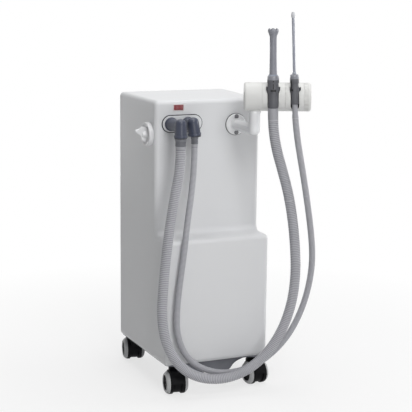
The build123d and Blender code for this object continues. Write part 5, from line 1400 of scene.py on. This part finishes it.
@dataclass
class HandpieceDrum:
    """Drum on the post: a mount, two grooved segments and an end knob."""

    frame: dict
    radius: float = 35.7
    seams: tuple[float, float, float] = (17.3, 74.4, 121.0)
    boss_bottom: float = 728.6
    left_end: float = -27.5
    right_end: float = 138.0

    def place(self, piece: bpy.types.Object) -> None:
        """Put a piece made about +Z on the drum's axis."""
        Bench.stand(piece, DRUM_CENTRE, ALONG, UP)

    def mount(self) -> None:
        """Turn the closed end with its toothed ring, and set its boss on the post."""
        start, end = self.left_end, self.seams[0]
        piece = Bench.revolve(
            "drum_mount",
            [
                (6.0, start), (28.5, start), (29.6, start + 0.5), (30.4, start),
                (32.0, start + 0.3), (33.8, start + 1.3), (35.0, start + 2.8),
                (35.6, start + 4.6), (35.7, start + 6.0), (35.7, end - 5.4), (35.0, end - 5.0),
                (35.0, end - 4.2), (35.7, end - 3.8), (35.7, end - 0.6), (35.1, end), (6.0, end),
            ],
            96,
        )
        self.place(piece)
        boss = Bench.revolve("drum_boss", [(15.0, 0.0), (15.0, 20.0)], 48)
        Bench.stand(boss, at(*POST, self.boss_bottom), UP)
        Bench.fuse(piece, boss)
        floor_cut = Bench.box("flat_cut", at(30.0, -90.0, 700.0), at(130.0, 20.0, self.boss_bottom))
        bore = Bench.revolve("pin_bore", [(8.3, 0.0), (8.3, 24.0)], 40)
        Bench.stand(bore, at(*POST, self.boss_bottom - 1.6), UP)
        Bench.cut(piece, floor_cut, bore)
        deliver(piece, "holder", Palette.DRUM, "drum_plastic", "drum_mount")

    def grooved(
        self,
        node: str,
        start: float,
        end: float,
        hang: Hang,
        lower: float,
        upper: float,
        shoulder: float,
    ) -> None:
        """Turn a segment and cut the stepped groove that a handpiece hangs in.

        Args:
            node: the CAD node that it replaces.
            start: left seam.
            end: right seam.
            hang: the handpiece's axis.
            lower: radius of the groove under the step.
            upper: radius of the groove over the step.
            shoulder: height of the step over the floor.
        """
        piece = Bench.revolve(
            f"{node}_segment",
            [
                (6.0, start + 0.1), (self.radius - 0.9, start + 0.1), (self.radius, start + 0.9),
                (self.radius, start + 2.4), (self.radius - 0.5, start + 2.8),
                (self.radius - 0.5, start + 3.4), (self.radius, start + 3.8),
                (self.radius, end - 0.9), (self.radius - 0.9, end - 0.1), (6.0, end - 0.1),
            ],
            96,
        )
        self.place(piece)
        for radius, level, top in ((lower, 720.0, shoulder + 1.0), (upper, shoulder, 810.0)):
            tool = Bench.revolve("groove_round", [(radius, level), (radius, top)], 56)
            slab = Bench.box(
                "groove_slab",
                Vector((-radius, -36.0, level)) * MM,
                Vector((radius, 0.0, top)) * MM,
            )
            hang.stand(tool)
            hang.stand(slab)
            Bench.cut(piece, tool, slab)
        # The groove's walls are painted black as the shade inside the groove.
        groove_shade = self.groove_shade(piece, node, hang, ((lower, 0.0), (upper, shoulder)))
        Bench.smooth(piece)
        Bench.smooth(groove_shade)
        settle(piece, "holder", Palette.DRUM, "drum_plastic", node)
        settle(groove_shade, "holder", Palette.GROOVE_SHADE, "drum_plastic")

    def groove_shade(
        self,
        piece: bpy.types.Object,
        node: str,
        hang: Hang,
        steps: tuple[tuple[float, float], ...],
    ) -> bpy.types.Object:
        """Part the groove's walls from a segment, to be painted black as the shade inside the
        groove.

        Args:
            piece: the segment with its groove cut.
            node: the CAD node that the segment replaces.
            hang: the handpiece's axis.
            steps: radius of the groove, and the height that it starts from.

        Returns:
            The walls, split off to carry the painted shade.
        """
        front = hang.side.cross(hang.axis)
        Bench.edit(piece, "FACE")
        Bench.leave()
        for face in piece.data.polygons:
            offset = (face.center - hang.point(0.0)) / MM
            height = offset.dot(hang.axis)
            across = abs(offset.dot(hang.side))
            back = max(0.0, -offset.dot(front))
            radius = [size for size, start in steps if height >= start - 0.05][-1]
            upright = abs(face.normal.dot(hang.axis)) < 0.5
            face.select = upright and math.hypot(across, back) < radius + 0.04
        before = set(bpy.data.objects)
        bpy.ops.object.mode_set(mode="EDIT")
        bpy.ops.mesh.separate(type="SELECTED")
        Bench.leave()
        groove_shade = (set(bpy.data.objects) - before).pop()
        groove_shade.name = f"{node}_lining"
        groove_shade.data.name = groove_shade.name
        return groove_shade

    def end_knob(self) -> None:
        """Turn the end knob with its ribs and dished face."""
        start, end = self.seams[2], self.right_end
        profile: Profile = [(6.0, start + 0.1), (34.9, start + 0.1), (35.7, start + 0.8)]
        for ring in range(4):
            low = start + 1.6 + ring * 2.3
            profile += [(35.7, low), (34.9, low + 0.5), (34.9, low + 0.9), (35.7, low + 1.4)]
        profile += [
            (35.7, end - 4.6), (35.4, end - 2.4), (34.5, end - 0.8), (33.0, end),
            (31.4, end - 0.2), (29.8, end - 2.0), (26.0, end - 2.6), (12.0, end - 2.0),
            (6.0, end - 1.8), (1.0, end - 1.8),
        ]
        piece = Bench.revolve("drum_end_knob", profile, 96)
        self.place(piece)
        deliver(piece, "holder_end", Palette.DRUM, "drum_plastic", "end_knob")

    def build(self) -> None:
        """Build the drum."""
        self.mount()
        self.grooved("hve_holder", self.seams[0], self.seams[1], WIDE_HANG, 13.8, 15.3, 775.8)
        self.grooved("se_holder", self.seams[1], self.seams[2], THIN_HANG, 10.6, 11.8, 777.6)
        self.end_knob()


@dataclass
class Handpiece:
    """Suction handpiece with its valve slider, hanging in the drum."""

    key: str
    hang: Hang
    grip: float
    bottom: float
    shoulder: float
    body: float
    top: float
    slide: float
    ear: float
    bore: float
    turn: float = 0.0
    ears: tuple[float, ...] = (-1.0, 1.0)
    window: float = 14.0
    slot: float = 1.6
    hole: tuple[float, float, float] = (804.9, 2.2, 2.2)

    def barrel(self) -> bpy.types.Object:
        """Turn the handpiece's body with its grip rings, recess and rounded nose.

        Returns:
            The body.
        """
        recess = self.body - 1.1
        low = self.shoulder + 2.2
        high = low + self.slide + 8.3
        grip = self.grip
        piece = Bench.revolve(
            f"{self.key}_barrel",
            [
                (grip - 1.6, self.bottom), (grip - 0.5, self.bottom + 0.4),
                (grip, self.bottom + 1.4), (grip, self.bottom + 6.0),
                (grip - 0.5, self.bottom + 6.5), (grip - 0.5, self.bottom + 7.3),
                (grip, self.bottom + 7.8), (grip, self.shoulder),
                (self.body - 0.3, self.shoulder), (self.body, self.shoulder + 0.3),
                (self.body, low - 0.3), (self.body - 0.4, low), (recess, low), (recess, high),
                (self.body - 0.3, high + 0.9), (self.body, high + 1.6),
                (self.body, self.top - 8.0), (self.body - 0.4, self.top - 4.5),
                (self.body - 1.3, self.top - 1.8), (self.body - 2.8, self.top - 0.3),
                (self.body - 4.2, self.top),
            ],
            72,
        )
        section: Profile = [(self.bore, self.top - 25.9), (self.bore, self.top + 2.0)]
        Bench.cut(piece, Bench.revolve("socket_bore", section, 48))
        return self.hang.dress(piece)

    def keyhole(self) -> bpy.types.Object:
        """Shape the slot over the window and the hole over the slot, as black strips of painted
        shade.

        Returns:
            Both marks, as thin curved strips just proud of the body.
        """
        low = self.shoulder + 2.25 + self.slide - 5.3
        high = self.shoulder + self.slide + 9.4
        place, wide, tall = self.hole
        half = self.slot
        turns = [math.radians(step * 22.5) for step in range(16)]
        oval = [(wide * math.cos(turn), place + tall * math.sin(turn)) for turn in turns]
        marks: list[tuple[float, Profile]] = [
            (self.body - 0.85, [(-half, low), (half, low), (half, high), (-half, high)]),
            (self.body + 0.05, oval),
        ]
        strips = []
        for radius, outline in marks:
            section = [(radius, low - 2.0), (radius, place + tall + 2.0)]
            strip = Bench.revolve(f"{self.key}_keyhole", section, 96)
            Bench.keep_inside(strip, Bench.sheet("keyhole_tool", outline, radius + 4.0))
            strips.append(strip)
        Bench.gather(strips[0], strips[1:])
        return self.hang.dress(strips[0], self.turn)

    def nose(self) -> bpy.types.Object:
        """Turn the cap over the body's nose, paler as a painted highlight.

        Returns:
            The cap.
        """
        cap = Bench.revolve(
            f"{self.key}_nose",
            [
                (self.body - 1.0, self.top - 10.6), (self.body + 0.1, self.top - 10.6),
                (self.body + 0.1, self.top - 8.0), (self.body - 0.3, self.top - 4.5),
                (self.body - 1.2, self.top - 1.7), (self.body - 2.7, self.top - 0.2),
                (self.body - 4.2, self.top + 0.1), (self.body - 4.2, self.top - 1.0),
            ],
            72,
            ring=True,
        )
        return self.hang.dress(cap)

    def slider(self) -> bpy.types.Object:
        """Model the valve slider: a sleeve with a window, a notch and curved ears.

        Returns:
            The slider.
        """
        inner = self.body - 0.8
        outer = self.body + 0.3
        low = self.shoulder + 2.25
        high = low + self.slide
        sleeve = Bench.revolve(
            f"{self.key}_slider",
            [
                (inner, low), (outer - 0.3, low), (outer, low + 0.4), (outer, high - 0.6),
                (outer - 0.4, high), (inner, high),
            ],
            72,
            ring=True,
        )
        sill = low + 1.4
        window = Bench.box(
            "window_tool",
            Vector((-self.window / 2.0, -24.0, sill)) * MM,
            Vector((self.window / 2.0, 0.0, sill + 6.0)) * MM,
        )
        notch = Bench.box(
            "notch_tool",
            Vector((-self.slot - 0.1, -24.0, sill + 5.0)) * MM,
            Vector((self.slot + 0.1, 0.0, high + 2.0)) * MM,
        )
        Bench.cut(sleeve, window, notch)
        return self.hang.dress(sleeve, self.turn, Shade.CRISP)

    def grips(self) -> bpy.types.Object:
        """Model the slider's dark ears, curved for a thumb.

        Returns:
            The ears.
        """
        inner = self.body - 0.8
        outer = self.body + 0.3
        high = self.shoulder + 2.25 + self.slide
        low = high - self.slide + 1.4
        grips = []
        for side in self.ears:
            ear = Bench.sheet(
                "slider_ear",
                [
                    (inner + 0.4, low), (outer + 0.1, low), (self.ear - 1.0, low + 1.4),
                    (self.ear - 0.3, low + 4.4), (self.ear - 0.2, high - 3.6),
                    (self.ear, high - 2.2), (self.ear - 0.2, high - 0.7),
                    (self.ear - 1.0, high - 0.1), (self.ear - 1.7, high - 0.9),
                    (self.ear - 2.0, high - 2.2), (inner + 0.4, high - 1.6),
                ],
                6.0,
            )
            Bench.edit_all(ear)
            bpy.ops.transform.translate(value=(0.0, 0.001, 0.0))
            if side < 0.0:
                bpy.ops.transform.mirror(
                    orient_type="GLOBAL",
                    constraint_axis=(True, False, False),
                    center_override=(0.0, 0.0, 0.0),
                )
            bpy.ops.mesh.normals_make_consistent(inside=False)
            Bench.leave()
            Bench.round_edges(ear, 0.5, 2, 40.0)
            if self.turn:
                Bench.stand(ear, ORIGIN, UP, self.ear_side())
            grips.append(ear)
        Bench.gather(grips[0], grips[1:])
        grips[0].name = f"{self.key}_slider_ears"
        return self.hang.dress(grips[0], self.turn)

    def ear_side(self) -> Vector:
        """Way that a turned slider's ear points, in the slider's own frame."""
        return Matrix.Rotation(math.radians(-self.turn), 4, "Z") @ RIGHT

    def port(self) -> bpy.types.Object:
        """Shape the port with three studs that shows through the window, black as painted shade
        inside it.

        Returns:
            The port.
        """
        sill = self.shoulder + 2.25 + 1.5
        radius = self.body - 0.95
        strip = Bench.revolve(f"{self.key}_port", [(radius, sill), (radius, sill + 5.6)], 96)
        half = self.window / 2.0 - 0.2
        low, high = Vector((-half, -30.0, 0.0)), Vector((half, 0.0, 1000.0))
        Bench.keep_inside(strip, Bench.box("port_tool", low * MM, high * MM))
        studs = []
        for place in (-4.0, 0.0, 4.0):
            if abs(place) < half - 1.5:
                stud = Bench.revolve("port_stud", [(1.3, 0.0), (1.3, 0.5), (0.9, 0.8)], 20)
                depth = math.sqrt(radius * radius - place * place) - 0.3
                Bench.stand(stud, Vector((place, -depth, sill + 2.9)) * MM, FORWARD)
                studs.append(stud)
        Bench.gather(strip, studs)
        return self.hang.dress(strip, self.turn)

    def build(self, body: str, valve: str) -> bpy.types.Object:
        """Build the handpiece.

        Args:
            body: the body that the handpiece rides on.
            valve: the body of its slider.

        Returns:
            The barrel.
        """
        barrel = self.barrel()
        node = f"{self.key}_handpiece"
        settle(barrel, body, Palette.GRIP, "handpiece_plastic", node)
        # The keyhole and port are black as painted shade of the openings.
        settle(self.keyhole(), body, Palette.SHADOW, "handpiece_plastic")
        settle(self.port(), body, Palette.SHADOW, "handpiece_plastic")
        settle(self.nose(), body, Palette.NOSE, "handpiece_plastic")
        settle(self.slider(), valve, Palette.SLIDE, "slide_plastic", f"{self.key}_slide")
        settle(self.grips(), valve, Palette.GASKET, "slide_plastic")
        return barrel


@dataclass
class WideCannula:
    """Wide suction tube with a notched crown for a mouth."""

    hang: Hang = WIDE_HANG
    seat: float = 818.7
    top: float = 933.0
    notches: int = 6

    def tube(self) -> bpy.types.Object:
        """Turn the tube and cut the notches out of its mouth.

        Returns:
            The tube.
        """
        seat, top = self.seat, self.top
        piece = Bench.revolve(
            "wide_cannula",
            [
                (6.7, seat - 25.5), (8.7, seat - 25.5), (8.7, seat + 0.2), (9.7, seat + 0.6),
                (9.8, seat + 3.0), (9.3, seat + 16.0), (8.8, seat + 34.0), (8.6, seat + 52.0),
                (8.6, top - 24.0), (8.8, top - 20.6), (9.5, top - 17.2), (10.8, top - 14.0),
                (12.2, top - 11.0), (13.0, top - 8.6), (13.25, top - 6.6), (13.1, top - 4.4),
                (12.5, top - 2.3), (11.6, top - 0.8), (10.8, top - 0.1), (10.0, top - 0.3),
                (10.1, top - 1.4), (11.0, top - 3.8), (11.5, top - 6.8), (10.9, top - 10.0),
                (9.2, top - 13.8), (7.6, top - 17.4), (6.7, top - 20.4),
            ],
            72,
            ring=True,
        )
        tools = []
        for number in range(self.notches):
            angle = math.radians(360.0 / self.notches * number)
            way = Vector((math.cos(angle), math.sin(angle), 0.0))
            tool = Bench.revolve("notch_tool", [(3.0, -6.0), (3.0, 6.0)], 28)
            Bench.stand(tool, way * 12.0 * MM + UP * (top + 0.3) * MM, way)
            tools.append(tool)
        Bench.cut(piece, *tools)
        return self.hang.dress(piece)

    def insert(self) -> bpy.types.Object:
        """Turn the blue-grey ring that seals the tube in the handpiece.

        Returns:
            The ring.
        """
        ring = Bench.revolve(
            "cannula_seal",
            [
                (9.9, self.seat - 0.6), (12.0, self.seat - 0.2), (11.7, self.seat + 1.4),
                (10.6, self.seat + 2.4), (9.9, self.seat + 2.6),
            ],
            64,
            ring=True,
        )
        return self.hang.dress(ring)

    def build(self) -> None:
        """Build the cannula."""
        settle(self.tube(), "hve_tube", Palette.TUBE, "hve_tube_plastic", "hve_cannula")
        settle(self.insert(), "hve_tube", Palette.INSERT, "hve_tube_plastic")


@dataclass
class SalivaEjector:
    """Thin clear tube with a soft slotted tip."""

    hang: Hang = THIN_HANG
    seat: float = 822.0
    tube_top: float = 966.0
    tip_low: float = 959.0
    tip_top: float = 973.4

    def tube(self) -> bpy.types.Object:
        """Turn the tube with the socket ring at its foot.

        Returns:
            The tube.
        """
        piece = Bench.revolve(
            "thin_cannula",
            [
                (2.5, self.seat - 25.5), (3.65, self.seat - 25.5), (3.65, self.seat + 0.4),
                (5.4, self.seat + 0.7), (5.2, self.seat + 2.6), (4.2, self.seat + 4.4),
                (3.7, self.seat + 7.0), (3.7, self.tube_top), (2.5, self.tube_top),
            ],
            36,
            ring=True,
        )
        return self.hang.dress(piece)

    def tip(self) -> bpy.types.Object:
        """Turn the tip and cut its crossed slots.

        Returns:
            The tip.
        """
        low, high = self.tip_low, self.tip_top
        piece = Bench.revolve(
            "soft_tip",
            [
                (3.85, low), (4.3, low + 0.1), (4.9, low + 1.8), (5.3, low + 3.0),
                (5.3, low + 4.0), (4.9, low + 5.4), (4.4, high - 5.0), (3.7, high - 2.4),
                (3.0, high - 0.7), (2.2, high), (1.5, high - 0.3), (1.5, low + 7.4),
                (3.85, low + 7.2),
            ],
            40,
            ring=True,
        )
        for reach, width in ((7.0, 0.5), (0.5, 7.0)):
            low_corner = Vector((-reach, -width, high - 4.0)) * MM
            high_corner = Vector((reach, width, high + 2.0)) * MM
            Bench.cut(piece, Bench.box("slot_tool", low_corner, high_corner))
        return self.hang.dress(piece)

    def build(self) -> None:
        """Build the ejector."""
        settle(self.tube(), "se_tube", Palette.CLEAR, "se_tube_plastic", "se_cannula")
        settle(self.tip(), "se_tube", Palette.TIP, "tip_plastic", "se_tip")


# Hoses


@dataclass
class SuctionHose:
    """Corrugated hose from a cuff, down in front of the cabinet and up to a handpiece."""

    key: str
    diameter: float
    start: tuple[float, float, float]
    route: list[tuple[float, float, float]]
    hang: Hang
    held: float
    grip_bottom: float
    pitch: float
    depth: float
    sides: int
    crest: float
    smooth_end: float = 34.0
    neck: float = 0.0
    tail_length: float = 235.0
    line: list[Vector] = field(default_factory=list)
    reach: list[float] = field(default_factory=list)

    def points(self) -> list[Vector]:
        """List the route's control points, from the cuff to the handpiece."""
        x, y, z = self.start
        middle = [at(*place) for place in self.route]
        ends = [self.hang.point(height) for height in (self.held, self.grip_bottom)]
        return [at(x, y, z), at(x, y, z - 50.0), *middle, *ends]

    def trace(self) -> None:
        """Read the smooth line of the route's NURBS spline."""
        places = self.points()
        curve = bpy.data.curves.new(f"{self.key}_route", "CURVE")
        curve.dimensions = "3D"
        curve.resolution_u = 28
        spline = curve.splines.new("NURBS")
        spline.points.add(len(places) - 1)
        for point, place in zip(spline.points, places):
            point.co = (*place, 1.0)
        spline.order_u = 3
        spline.use_endpoint_u = True
        holder = bpy.data.objects.new(f"{self.key}_route", curve)
        bpy.context.collection.objects.link(holder)
        bpy.context.view_layer.update()
        mesh = bpy.data.meshes.new_from_object(holder)
        self.line = [corner.co.copy() for corner in mesh.vertices]
        bpy.data.objects.remove(holder)
        bpy.data.curves.remove(curve)
        bpy.data.meshes.remove(mesh)
        self.reach = [0.0]
        for before, after in zip(self.line, self.line[1:]):
            self.reach.append(self.reach[-1] + (after - before).length)

    def place(self, distance: float) -> tuple[Vector, Vector]:
        """Find a place on the line.

        Args:
            distance: metres from the cuff.

        Returns:
            The place, and the way that the line runs there.
        """
        low, high = 0, len(self.reach) - 1
        while high - low > 1:
            middle = (low + high) // 2
            if self.reach[middle] <= distance:
                low = middle
            else:
                high = middle
        span = max(self.reach[high] - self.reach[low], 1e-9)
        share = (distance - self.reach[low]) / span
        start = self.line[max(low - 1, 0)]
        end = self.line[min(high + 1, len(self.line) - 1)]
        return self.line[low].lerp(self.line[high], share), (end - start).normalized()

    def stations(self, start: float, end: float) -> list[tuple[float, float, float]]:
        """List the rings of a stretch: distance, radius and crest.

        Args:
            start: metres from the cuff.
            end: metres from the cuff.

        Returns:
            One entry for each ring.
        """
        radius = self.crest * MM
        ribs_from = 0.006
        ribs_to = self.reach[-1] - self.smooth_end * MM
        rings: list[tuple[float, float, float]] = [(start, radius, 0.6)]
        distance = start
        shape = ((0.0, 0.0, 0.0), (0.22, 0.0, 0.0), (0.42, 1.0, 1.0), (0.8, 1.0, 1.0))
        while distance < end - self.pitch * MM:
            if ribs_from < distance < ribs_to:
                for share, rise, crest in shape:
                    ring = radius - self.depth * MM * (1.0 - rise)
                    rings.append((distance + share * self.pitch * MM, ring, crest))
            else:
                share = min(max((distance - ribs_to) / (0.4 * self.smooth_end * MM), 0.0), 1.0)
                narrowed = radius - self.neck * MM * share
                rings.append((distance + 0.5 * self.pitch * MM, narrowed, 0.5))
            distance += self.pitch * MM
        rings.append((end, rings[-1][1], 0.5))
        return rings

    def skin(self, name: str, start: float, end: float) -> tuple[bpy.types.Object, list[Vector]]:
        """Build a stretch of the hose as a tube along the line.

        Args:
            name: name of the piece.
            start: metres from the cuff.
            end: metres from the cuff.

        Returns:
            The piece, and the points that it follows.
        """
        corners: list[Vector] = []
        crests: list[float] = []
        path: list[Vector] = []
        side = BACKWARD
        rings = self.stations(start, end)
        for distance, radius, crest in rings:
            centre, way = self.place(distance)
            side = (side - way * side.dot(way)).normalized()
            other = way.cross(side)
            path.append(centre)
            for number in range(self.sides):
                angle = math.tau * number / self.sides
                corners.append(centre + (side * math.cos(angle) + other * math.sin(angle)) * radius)
                crests.append(crest)
        faces: list[tuple[int, ...]] = []
        for ring in range(len(rings) - 1):
            for number in range(self.sides):
                after = (number + 1) % self.sides
                low, high = ring * self.sides, (ring + 1) * self.sides
                faces.append((low + number, low + after, high + after, high + number))
        faces.append(tuple(reversed(range(self.sides))))
        faces.append(tuple(range(len(corners) - self.sides, len(corners))))
        mesh = bpy.data.meshes.new(name)
        mesh.from_pydata(corners, [], faces)
        layer = mesh.attributes.new("crest", "FLOAT", "POINT")
        for number, crest in enumerate(crests):
            layer.data[number].value = crest
        piece = bpy.data.objects.new(name, mesh)
        bpy.context.collection.objects.link(piece)
        Bench.smooth(piece, Shade.SOFT)
        piece.data.materials.append(Palette.HOSE.build())
        return piece, path

    def build(self, handpiece: bpy.types.Object) -> None:
        """Build the long stretch and the tail.

        Args:
            handpiece: the barrel at the tail's end; not used.
        """
        self.trace()
        total = self.reach[-1]
        split = total - self.tail_length * MM
        main, path = self.skin(f"{self.key}_hose_run", 0.0, split)
        under = self.hang.point(60.0)
        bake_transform(main)
        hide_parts(f"{self.key}_hose")
        tail, tail_path = self.skin(f"{self.key}_hose_end", split - 0.0005, total)
        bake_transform(tail)
        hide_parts(f"{self.key}_hose_tail")
        LOG.info("%s hose is %.3f m long", self.key, total)


# Casters


@dataclass
class Caster:
    """Twin wheel caster with a hood over its wheels."""

    name: str
    x: float
    y: float
    way: float
    turned: float
    trail: float = 20.0
    wheel: float = 30.0
    wheel_start: float = 10.3

    @property
    def axle(self) -> Vector:
        """Way that the axle runs."""
        angle = math.radians(self.turned)
        return Vector((math.cos(angle), math.sin(angle), 0.0))

    @property
    def trailing(self) -> Vector:
        """Way from the stem to the axle."""
        angle = math.radians(self.turned)
        return Vector((-math.sin(angle), math.cos(angle), 0.0)) * self.way

    @property
    def hub(self) -> Vector:
        """Middle of the axle."""
        return at(self.x, self.y, self.wheel) + self.trailing * self.trail * MM

    @staticmethod
    def hood_pattern() -> bpy.types.Object:
        """Model the hood about an axle along +Z, trailing towards +X, with up along +Y.

        Returns:
            The hood.
        """
        hood = Bench.revolve(
            "hood_pattern",
            [
                (30.4, -18.6), (32.2, -18.2), (33.2, -17.0), (33.2, 17.0), (32.2, 18.2),
                (30.4, 18.6),
            ],
            88,
        )
        Bench.edit_all(hood)
        bpy.ops.mesh.bisect(
            plane_co=(0.0, 0.0006, 0.0), plane_no=(-0.1, 1.0, 0.0), clear_inner=True, use_fill=True
        )
        Bench.leave()
        boss = Bench.revolve("boss", [(12.0, 0.0), (13.0, 8.0), (13.0, 21.4), (12.4, 22.0)], 40)
        Bench.stand(boss, Vector((-20.0, 18.7, 0.0)) * MM, BACKWARD)
        Bench.fuse(hood, boss)
        for side in (-1.0, 1.0):
            room = Bench.revolve("wheel_room", [(31.0, 10.0), (31.0, 40.0)], 88)
            if side < 0.0:
                Bench.stand(room, ORIGIN, -UP)
            Bench.cut(hood, room)
        web = Bench.revolve("web", [(25.0, -10.0), (26.5, -9.2), (26.5, 9.2), (25.0, 10.0)], 72)
        column = Bench.box(
            "column", Vector((-31.0, 0.0, -10.0)) * MM, Vector((-9.0, 30.0, 10.0)) * MM
        )
        axle = Bench.revolve("axle", [(4.0, -25.4), (4.0, 25.4)], 32)
        Bench.fuse(hood, web, column, axle)
        pin = Bench.revolve("pin_hole", [(4.3, 0.0), (4.3, 30.0)], 32)
        Bench.stand(pin, Vector((-20.0, 16.0, 0.0)) * MM, BACKWARD)
        Bench.cut(hood, pin)
        Bench.round_edges(hood, 0.7, 2, 50.0)
        return hood

    @staticmethod
    def tyre_pattern() -> bpy.types.Object:
        """Turn the tyre about +Z, from its inner face at the origin outwards.

        Returns:
            The tyre.
        """
        return Bench.revolve(
            "tyre_pattern",
            [
                (24.0, 9.2), (29.5, 9.2), (29.5, 10.4), (28.6, 12.6), (26.8, 15.0), (24.4, 17.2),
                (22.2, 18.4), (20.9, 18.4), (20.4, 17.6), (20.4, 9.2),
            ],
            80,
            ring=True,
        )

    @staticmethod
    def disc_pattern() -> bpy.types.Object:
        """Turn the wheel's black disc, with its dished face and cap.

        Returns:
            The disc.
        """
        return Bench.revolve(
            "disc_pattern",
            [
                (4.3, 0.1), (28.6, 0.4), (29.8, 1.4), (30.0, 3.4), (29.8, 9.3), (20.6, 9.3),
                (20.5, 15.4), (19.8, 16.6), (18.4, 16.4), (16.6, 14.6), (14.6, 13.6),
                (10.4, 13.6), (8.8, 14.8), (8.2, 16.3), (6.8, 16.9), (4.3, 17.0),
            ],
            80,
            ring=True,
        )

    def build(self, patterns: dict[str, bpy.types.Object]) -> None:
        """Copy the patterns to this caster's place.

        Args:
            patterns: the hood, tyre and disc that all casters share.
        """
        hood = Bench.copy(patterns["hood"], f"{self.name}_hood")
        # The hood's +X trails and its +Y points up, so its +Z is the way across both.
        Bench.stand(hood, self.hub, self.trailing.cross(UP), self.trailing)
        deliver(hood, f"caster_{self.name}", Palette.CASTER, "caster_plastic", f"hood_{self.name}")
        for side, label in ((-1.0, "left"), (1.0, "right")):
            outward = self.axle * side
            inner = self.hub + outward * self.wheel_start * MM
            body = f"wheel_{self.name}_{label}"
            tyre = Bench.copy(patterns["tyre"], f"{self.name}_{label}_tyre")
            Bench.stand(tyre, inner, outward, UP)
            deliver(tyre, body, Palette.TREAD, "wheel_rubber", body)
            disc = Bench.copy(patterns["disc"], f"{self.name}_{label}_disc")
            Bench.stand(disc, inner, outward, UP)
            deliver(disc, body, Palette.CASTER, "caster_plastic")


# Back fittings


@dataclass
class BackFittings:
    """Mains inlet and the two outlets on the back panel."""

    frame: dict

    def build(self) -> None:
        """Dress the three fittings."""
        for node, name, finish, slot in (
            ("power_inlet", "mains_inlet", Palette.SOCKET, "inlet_plastic"),
            ("exhaust_outlet", "exhaust_spigot", Palette.INNER, "outlet_plastic"),
            ("drain_outlet", "drain_spigot", Palette.INNER, "outlet_plastic"),
        ):
            piece = Bench.node_copy(self.frame, node, name)
            settle(piece, "cabinet", finish, slot, node)


def dress_hidden_nodes(frame: dict, replaced: set[str]) -> None:
    """Give every CAD node that stays its finish, by its slot in the record.

    Args:
        replaced: the nodes that pieces stand for.
    """
    for entry in frame["record"]["subparts"]:
        node = entry["node"]
        if node in replaced or node not in frame["nodes"]:
            continue
        data = frame["nodes"][node].data
        finish = SLOT_FINISHES[entry["material_slot"]].build()
        for index in range(len(data.materials)):
            data.materials[index] = finish
        LOG.info("%s stays, in %s", node, finish.name)


WIDE_ROUTE = [
    (-121, -4, 522), (-139, -15, 446), (-151, -20, 366), (-160, -24, 288), (-166, -29, 212),
    (-152, -36, 134), (-108, -44, 72), (-41, -51, 44), (35, -57, 49), (103, -63, 90),
    (150, -69.5, 156), (176, -74, 234), (183, -77, 312), (177, -80, 388), (167, -82, 458),
    (153, -83, 524), (134, -83, 585), (118, -83, 634), (109, -83, 678),
]
THIN_ROUTE = [
    (-70, 13, 518), (-88, -4, 446), (-99, -13, 376), (-110, -15, 306), (-119, -16, 236),
    (-120, -18, 158), (-89, -23, 91), (-24, -27, 54), (50, -32, 50), (122, -37, 77),
    (179, -44, 131), (211, -56, 200), (227, -67, 271), (230, -78, 344), (218, -88, 418),
    (203, -95, 488), (188, -100, 556), (175, -102, 614), (167, -103, 650), (160, -104, 690),
]


def corners(box: tuple[Vector, Vector]) -> list[list[float]]:
    """Turn a box's two corners into plain lists."""
    return [list(map(float, corner)) for corner in box]


def main() -> None:
    """Build the whole unit, piece by piece."""
    logging.basicConfig(level=logging.INFO, format="%(message)s")
    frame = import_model()
    Studio().build()

    wide = Handpiece(
        "hve", WIDE_HANG, grip=13.2, bottom=738.4, shoulder=775.8, body=14.7, top=818.7,
        slide=13.6, ear=17.2, bore=8.8,
    )
    thin = Handpiece(
        "se", THIN_HANG, grip=10.0, bottom=748.8, shoulder=777.6, body=11.2, top=822.0,
        slide=11.6, ear=15.6, bore=3.75, turn=-50.0, ears=(1.0,), window=11.0, slot=2.5,
        hole=(803.4, 2.5, 5.4),
    )
    wide_barrel = wide.build("hve", "hve_valve")
    thin_barrel = thin.build("se", "se_valve")
    SuctionHose(
        "hve", 25.0, (*WIDE_LEG, CUFF_BOTTOM), WIDE_ROUTE, WIDE_HANG, held=716.0,
        grip_bottom=wide.bottom, pitch=4.5, depth=0.75, sides=26, crest=12.9, smooth_end=30.0,
    ).build(wide_barrel)
    SuctionHose(
        "se", 16.0, (*THIN_LEG, CUFF_BOTTOM), THIN_ROUTE, THIN_HANG, held=725.0,
        grip_bottom=thin.bottom, pitch=3.0, depth=0.4, sides=20, crest=8.1, smooth_end=36.0,
        neck=1.1,
    ).build(thin_barrel)
    WideCannula().build()
    SalivaEjector().build()

    Cabinet(frame).build()
    Sockets(frame).build()
    PowerSwitch(frame).build()
    FlowKnob().build()
    Screws().build()
    HolderArm().build()
    HandpieceDrum(frame).build()
    BackFittings(frame).build()

    patterns = {
        "hood": Caster.hood_pattern(),
        "tyre": Caster.tyre_pattern(),
        "disc": Caster.disc_pattern(),
    }
    inset, front, rear = 33.0, 29.0, 301.0
    for name, hand, y, way, turned in (
        ("front_left", -1.0, front, -1.0, -6.3),
        ("front_right", 1.0, front, -1.0, 6.7),
        ("back_left", -1.0, rear, 1.0, -10.0),
        ("back_right", 1.0, rear, 1.0, 8.0),
    ):
        Caster(name, hand * (half_width(y) - inset), y, way, turned).build(patterns)
    for pattern in patterns.values():
        bpy.data.objects.remove(pattern)

    replaced = {name for name, node in frame["nodes"].items() if node.hide_render}
    dress_hidden_nodes(frame, replaced)
    Bench.clear()
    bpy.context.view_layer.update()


if __name__ == "__main__":
    main()
